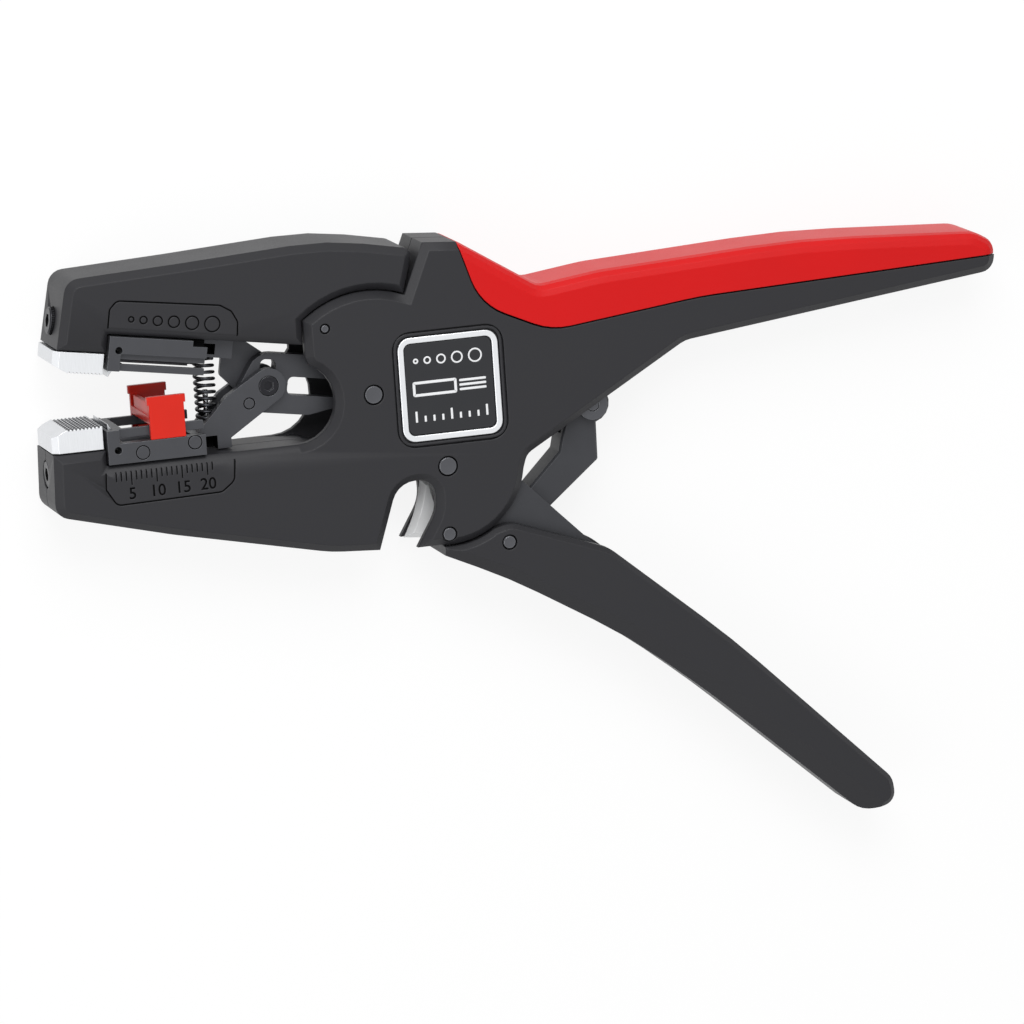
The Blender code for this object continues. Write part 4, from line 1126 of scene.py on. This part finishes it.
@dataclass
class Holders:
    """Blade holders with round marks and notches behind their walls, whose cut walls are near-black as painted
    shade.
    """

    bench: Bench
    face: float = 17.7
    arm_face: float = 12.9
    mark: float = 1.46
    arm_mark: float = 1.2
    groove: float = 0.22
    depth: float = 0.22
    wall_marks: tuple = ((-47.0, -6.3), (-36.5, -5.4))
    arm_marks: tuple = ((-24.0, 0.2),)
    tail_notch: tuple = ((-33.4, -9.0, 9.4), (-30.9, -5.4, 14.0))
    edge_notch: tuple = ((-37.2, 7.5, 14.8), (-34.0, 9.5, 19.0))
    rear_notch: tuple = ((-34.0, 5.6, 9.4), (-31.6, 7.7, 14.0))
    liner: tuple = ((-51.3, 3.45, 3.0), (-35.6, 4.09, 13.0))

    def marks(self, place: Place, centres: Iterable[Point], radius: float, face: float) -> bpy.types.Object:
        """Cutter for round lines in a flat face.

        Args:
            place: Frame of the holder.
            centres: Middles of the lines.
            radius: Outer radius of a line.
            face: Height of the face.

        Returns:
            The cutter.
        """
        work = bmesh.new()
        for centre in centres:
            inner, outer = (arc(centre, size, 0, 360, 32)[:-1] for size in (radius - self.groove, radius))
            add_ring(work, inner, outer, face - self.depth, face + REACH)
        return place.link("round_marks", work)

    @staticmethod
    def block(place: Place, low: Point, high: Point) -> bpy.types.Object:
        """A square block.

        Args:
            place: Frame of the holder.
            low: Lowest corner.
            high: Highest corner.

        Returns:
            The block.
        """
        outline = [(low[0], low[1]), (high[0], low[1]), (high[0], high[1]), (low[0], high[1])]
        return place.prism("block", outline, low[2], high[2])

    def build(self) -> None:
        """Carve both holders and set a dark block in the upper one's slot as painted shade."""
        tool = Place(self.bench.tool_matrix())
        jaw = Place(self.bench.jaw_matrix())
        lower = self.bench.copy("lower_blade_holder", "lower_holder_milled")
        # The walls of the marks and notches are near-black: painted shade.
        dark = self.bench.recess
        carve(lower, self.marks(tool, self.wall_marks, self.mark, self.face), dark)
        carve(lower, self.marks(tool, self.arm_marks, self.arm_mark, self.arm_face), dark)
        carve(lower, self.block(tool, *self.tail_notch), dark)
        self.bench.hand_over(lower, "lower_blade_holder", Finish.HOLDER, "lower_blade_holder")
        upper = self.bench.copy("upper_blade_holder", "upper_holder_milled")
        carve(upper, self.block(jaw, *self.edge_notch), dark)
        carve(upper, self.block(jaw, *self.rear_notch), dark)
        self.bench.hand_over(upper, "upper_blade_holder", Finish.HOLDER, "upper_blade_holder")
        # A dark steel block in the upper holder's slot: painted shade, so the slot reads black instead of
        # showing the floor through it.
        liner = self.block(jaw, *self.liner)
        liner.name = "upper_slot_liner"
        self.bench.hand_over(liner, "upper_blade_holder", Finish.SCREW)


@dataclass
class HolderSpring:
    """The coil spring that spreads the blade holders; the real one shortens as they close, this one is wound
    once and keeps its length.
    """

    bench: Bench
    turns: float = 10.0
    steps: int = 20
    wire: float = 0.33
    sides: int = 10
    keep: float = 0.64

    def build(self) -> None:
        """Wind the spring in the box of its carried solid."""
        low, high = (Vector(corner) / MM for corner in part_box("holder_spring"))
        centre = (low + high) / 2
        radius = (high.x - low.x) / 2 - self.wire
        count = int(self.turns * self.steps)
        line = []
        for k in range(count + 1):
            angle = 2 * math.pi * k / self.steps
            height = low.y + self.wire + (high.y - low.y - 2 * self.wire) * k / count
            x, z = arc((centre.x, centre.z), radius, math.degrees(angle), 0, 1)[0]
            line.append(Vector((x, height, z)))
        work = bmesh.new()
        rings = []
        for k, point in enumerate(line):
            along = (line[min(k + 1, count)] - line[max(k - 1, 0)]).normalized()
            out = Vector((point.x - centre.x, 0.0, point.z - centre.z)).normalized()
            up = along.cross(out)
            angles = [2 * math.pi * side / self.sides for side in range(self.sides)]
            rings.append([work.verts.new(point + (out * math.cos(a) + up * math.sin(a)) * self.wire)
                          for a in angles])
        for near, far in zip(rings, rings[1:]):
            for k in range(self.sides):
                after = (k + 1) % self.sides
                work.faces.new((near[k], near[after], far[after], far[k]))
        work.faces.new(rings[0])
        work.faces.new(rings[-1])
        spring = settle(Place(Matrix.Identity(4)).link("holder_spring_coil", work))
        self.bench.hand_over(spring, "lower_blade_holder", Finish.SPRING, "holder_spring")
        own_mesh(spring)


@dataclass
class JawScrews:
    """Cap screws with a knurled head and a hexagon socket, which clamp the gripping jaws."""

    bench: Bench
    axis_y: float = 10.0
    axis_z: float = 9.0
    head: float = 2.7
    head_height: float = 1.4
    socket: float = 1.45
    socket_depth: float = 1.0
    shaft: float = 1.2
    knurls: int = 36
    knurl: float = 0.14
    knurl_out: float = 0.02
    knurl_ends: tuple = (0.1, 0.35)
    chamfer: float = 0.25
    sides: int = 72

    def screw(self, place: Place, node: str, low: float, high: float) -> bpy.types.Object:
        """One screw along the upright axis of its own frame.

        Args:
            place: Frame of the screw, whose axis points out of the head.
            node: Name of the carried solid.
            low: Height of the shaft's end.
            high: Height of the head's face.

        Returns:
            The finished piece.
        """
        rim = self.head - self.chamfer
        profile = [(0.0, low), (self.shaft, low), (self.shaft, high - self.head_height),
                   (self.head, high - self.head_height), (self.head, high - self.chamfer), (rim, high),
                   (0.0, high)]
        piece = place.turned(node + "_turned", (0.0, 0.0), profile, self.sides)
        notches = bmesh.new()
        for k in range(self.knurls):
            turn = 2 * math.pi * k / self.knurls
            out = self.head + self.knurl_out
            centre = (out * math.cos(turn), out * math.sin(turn))
            add_prism(notches, arc(centre, self.knurl, math.degrees(turn), math.degrees(turn) + 360, 4)[:-1],
                      high - self.head_height - self.knurl_ends[0], high - self.knurl_ends[1])
        # Knurl and socket walls are near-black: painted shade.
        carve(piece, place.link("knurls", notches), self.bench.recess)
        hexagon = arc((0.0, 0.0), self.socket, 0, 360, 6)[:-1]
        socket = place.prism("socket", hexagon, high - self.socket_depth, high + REACH)
        return carve(piece, socket, self.bench.recess)

    def build(self) -> None:
        """Turn the screw of each jaw between the ends of its carried solid."""
        tool, jaw = self.bench.tool_matrix(), self.bench.jaw_matrix()
        for node, matrix, side, body in (("lower_jaw_screw", tool, -1, "root"),
                                         ("upper_jaw_screw", jaw, 1, "upper_jaw")):
            back = matrix.inverted()
            points = [back @ vertex.co for vertex in self.bench.frame["nodes"][node].data.vertices]
            low, high = (-fold(point.x for point in points) / MM for fold in (max, min))
            axis = Matrix.Translation(Vector((0.0, side * self.axis_y, self.axis_z)) * MM)
            turned = axis @ Matrix.Rotation(-math.pi / 2, 4, "Y")
            self.bench.hand_over(self.screw(Place(matrix @ turned), node, low, high), body, Finish.SCREW, node)


@dataclass
class LengthStop:
    """The red stop on the lower holder, with rounded edges."""

    bench: Bench
    edge: float = 0.14

    def build(self) -> None:
        """Round the edges of the stop."""
        stop = soften(self.bench.copy("length_stop", "length_stop_moulded"), self.edge)
        self.bench.hand_over(stop, "length_stop", Finish.STOP, "length_stop")


@dataclass
class NamePlate:
    """Bright frame inside a raised bead, and plain signs of stripped wires on the dark field."""

    bench: Bench
    low: tuple = (4.2, -11.5)
    size: tuple = (22.8, 23.2)
    corner: float = 3.8
    bead_out: float = 0.32
    bead_in: float = 0.92
    top: float = 17.98
    floor: float = 17.2
    field_top: float = 17.7
    print_height: float = 0.05
    print_sunk: float = 0.1
    half_print: float = 7.2
    ring_count: int = 5
    ring_radius: float = 0.55
    ring_growth: float = 0.22
    ring_line: float = 0.32
    ring_gap: float = 1.05
    ring_height: float = 5.6
    sleeve: tuple = ((-7.6, -1.5), (1.4, 1.5))
    sleeve_line: float = 0.55
    strands: tuple = (-0.9, 0.0, 0.9)
    strand_ends: tuple = (1.9, 7.4)
    strand_half: float = 0.24
    bar_count: int = 9
    bar_pitch: float = 1.8
    bar_foot: float = -6.6
    bar_half: float = 0.22
    bar_heights: tuple = (2.2, 1.2)

    def inset(self, distance: float) -> list[Point]:
        """The outline of the recess, moved inwards.

        Args:
            distance: How far it moves.

        Returns:
            The points of the outline.
        """
        x, y = self.low
        w, h = self.size
        return frame_outline((x + distance, y + distance), (x + w - distance, y + h - distance),
                             self.corner - distance)

    def printed(self) -> bmesh.types.BMesh:
        """Rings of growing size, a stripped wire and a row of bars, placed from the plate's middle.

        Returns:
            The mesh of the print.
        """
        work = bmesh.new()
        low = self.field_top - self.print_sunk
        high = self.field_top + self.print_height
        middle = self.low[0] + self.size[0] / 2
        base = self.low[1] + self.size[1] / 2
        x = middle - self.half_print
        for k in range(self.ring_count):
            radius = self.ring_radius + self.ring_growth * k
            x += radius
            inner, outer = (arc((x, base + self.ring_height), size, 0, 360, 32)[:-1]
                            for size in (radius - self.ring_line, radius))
            add_ring(work, inner, outer, low, high)
            x += radius + self.ring_gap
        sleeve = frame_outline(*((middle + u, base + v) for u, v in self.sleeve), 0.5)
        add_ring(work, widened(sleeve, -self.sleeve_line), sleeve, low, high)
        start, end = (middle + x for x in self.strand_ends)
        for strand in self.strands:
            y = base + strand
            strip = frame_outline((start, y - self.strand_half), (end, y + self.strand_half), 0.2)
            add_prism(work, strip, low, high)
        foot = base + self.bar_foot
        for k in range(self.bar_count):
            x = middle - self.half_print + self.bar_pitch * k
            tall = self.bar_heights[0 if k % 4 == 0 else 1]
            bar = frame_outline((x - self.bar_half, foot), (x + self.bar_half, foot + tall), 0.1)
            add_prism(work, bar, low, high)
        return work

    def build(self) -> None:
        """Add the bead and the print, and round the frame."""
        place = Place(self.bench.tool_matrix())
        inner, outer = self.inset(self.bead_in), self.inset(self.bead_out)
        bead = place.ring("plate_bead", inner, outer, self.floor, self.top)
        self.bench.hand_over(soften(bead, 0.2), "root", Finish.CHARCOAL)
        signs = place.link("plate_signs", self.printed())
        self.bench.hand_over(signs, "root", Finish.PRINT)
        frame = self.bench.copy("plate_frame", "plate_frame_rounded")
        self.bench.hand_over(soften(frame, 0.16), "root", Finish.JAW_STEEL, "plate_frame")


# Studio

@dataclass
class Studio:
    """Pale floor, soft lamps and the camera."""

    azimuth: float = 15.5
    elevation: float = 9.2
    roll: float = 4.0
    distance_mm: float = 1600.0
    pixels_per_mm: float = 5.0373
    anchor_px: tuple = (374.0, 395.0)
    anchor_height: float = 18.0
    sensor_mm: float = 36.0
    surround: float = 0.5
    floor_share: float = 0.88
    lamps: tuple = (("key", (-0.15, 0.75, 0.85), 0.7, 9.0), ("fill", (-0.9, -0.2, 0.8), 0.8, 4.0))

    def axes(self) -> tuple[Vector, Vector, Vector]:
        """The camera's directions in the row frame.

        Returns:
            Its right, its up and the direction behind it.
        """
        a = math.radians(self.azimuth)
        e = math.radians(self.elevation)
        back = Vector((-math.sin(a) * math.cos(e), math.sin(e), math.cos(a) * math.cos(e)))
        right = Vector((math.cos(a), 0.0, math.sin(a)))
        turn = Matrix.Rotation(-math.radians(self.roll), 3, "Z")
        back, right = turn @ back, turn @ right
        return right, back.cross(right), back

    def camera(self, bench: Bench) -> None:
        """Place the camera so that the jaw pivot pin falls on its pixel.

        Args:
            bench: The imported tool.
        """
        right, up, back = self.axes()
        anchor = Vector((0.0, 0.0, self.anchor_height))
        depth = self.distance_mm - anchor.dot(back)
        focal = self.pixels_per_mm * self.distance_mm
        middle = IMAGE_SIZE / 2
        across = anchor.dot(right) - (self.anchor_px[0] - middle) * depth / focal
        along = anchor.dot(up) - (middle - self.anchor_px[1]) * depth / focal
        eye = right * across + up * along + back * self.distance_mm
        data = bpy.data.cameras.new("camera")
        data.sensor_width = self.sensor_mm
        data.lens = focal / IMAGE_SIZE * self.sensor_mm
        data.clip_end = 20.0
        camera = bpy.data.objects.new("camera", data)
        place = Matrix((right, up, back)).transposed().to_4x4()
        place.translation = bench.pivot + eye * MM
        camera.matrix_world = place
        bpy.context.scene.collection.objects.link(camera)
        bpy.context.scene.camera = camera

    @staticmethod
    def lamp(name: str, place: Point, size: float, energy: float) -> None:
        """A square soft lamp that looks at the tool.

        Args:
            name: Name of the lamp.
            place: Where it stands.
            size: Length of its side.
            energy: Its power in watts.
        """
        data = bpy.data.lights.new(name, "AREA")
        data.size = size
        data.energy = energy
        lamp = bpy.data.objects.new(name, data)
        lamp.location = place
        lamp.rotation_euler = Vector(place).to_track_quat("Z", "Y").to_euler()
        bpy.context.scene.collection.objects.link(lamp)

    def world(self) -> None:
        """A pale surrounding that shows white to the camera and to gloss."""
        world = bpy.data.worlds.new("surround")
        bpy.context.scene.world = world
        world.use_nodes = True
        graph = Graph(world.node_tree)
        background = world.node_tree.nodes["Background"]
        graph.feed(background.inputs["Color"], (1.0, 1.0, 1.0, 1.0))
        strength = graph.shown_rays() * (1.0 - self.surround) + self.surround
        graph.feed(background.inputs["Strength"], strength)

    def floor(self) -> None:
        """The pale surface that the tool lies on."""
        bpy.ops.mesh.primitive_plane_add(size=6.0, location=(0.0, 0.0, -0.0002))
        floor = bpy.context.object
        floor.name = "floor"
        graph = Surface("floor")
        cloud = graph.noise(60.0, 2.0)
        colour = graph.blend(cloud, (0.9, 0.9, 0.9, 1.0), (0.93, 0.93, 0.93, 1.0))
        graph.finish(Base_Color=colour, Roughness=0.8)
        shown = graph.node("ShaderNodeEmission", {}, {"Color": (1.0, 1.0, 1.0, 1.0), "Strength": 1.0})
        share = graph.shown_rays() * self.floor_share
        mix = graph.node("ShaderNodeMixShader", {}, {0: share, 1: graph.shader.outputs[0], 2: shown.outputs[0]})
        output = graph.tree.nodes["Material Output"]
        graph.tree.links.new(mix.outputs[0], output.inputs["Surface"])
        floor.data.materials.append(graph.material)

    def build(self, bench: Bench) -> None:
        """Set the whole studio.

        Args:
            bench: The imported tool.
        """
        bpy.context.scene.view_settings.view_transform = "Standard"
        self.camera(bench)
        self.world()
        self.floor()
        for lamp in self.lamps:
            self.lamp(*lamp)
        LOG.info("studio set")


# Assembly


def main() -> None:
    """Load the tool, dress it and light it."""
    logging.basicConfig(level=logging.INFO, format="%(name)s %(message)s")
    bench = Bench(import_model())
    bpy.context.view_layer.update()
    Studio().build(bench)
    for node, finish in CARRIED.items():
        bench.dress(node, finish)
    for part in (Engraving, Pins, GrippingJaws, JawScrews, Holders, HolderSpring, LengthStop, NamePlate):
        part(bench).build()
        LOG.info("built %s", part.__name__)


if __name__ == "__main__":
    main()
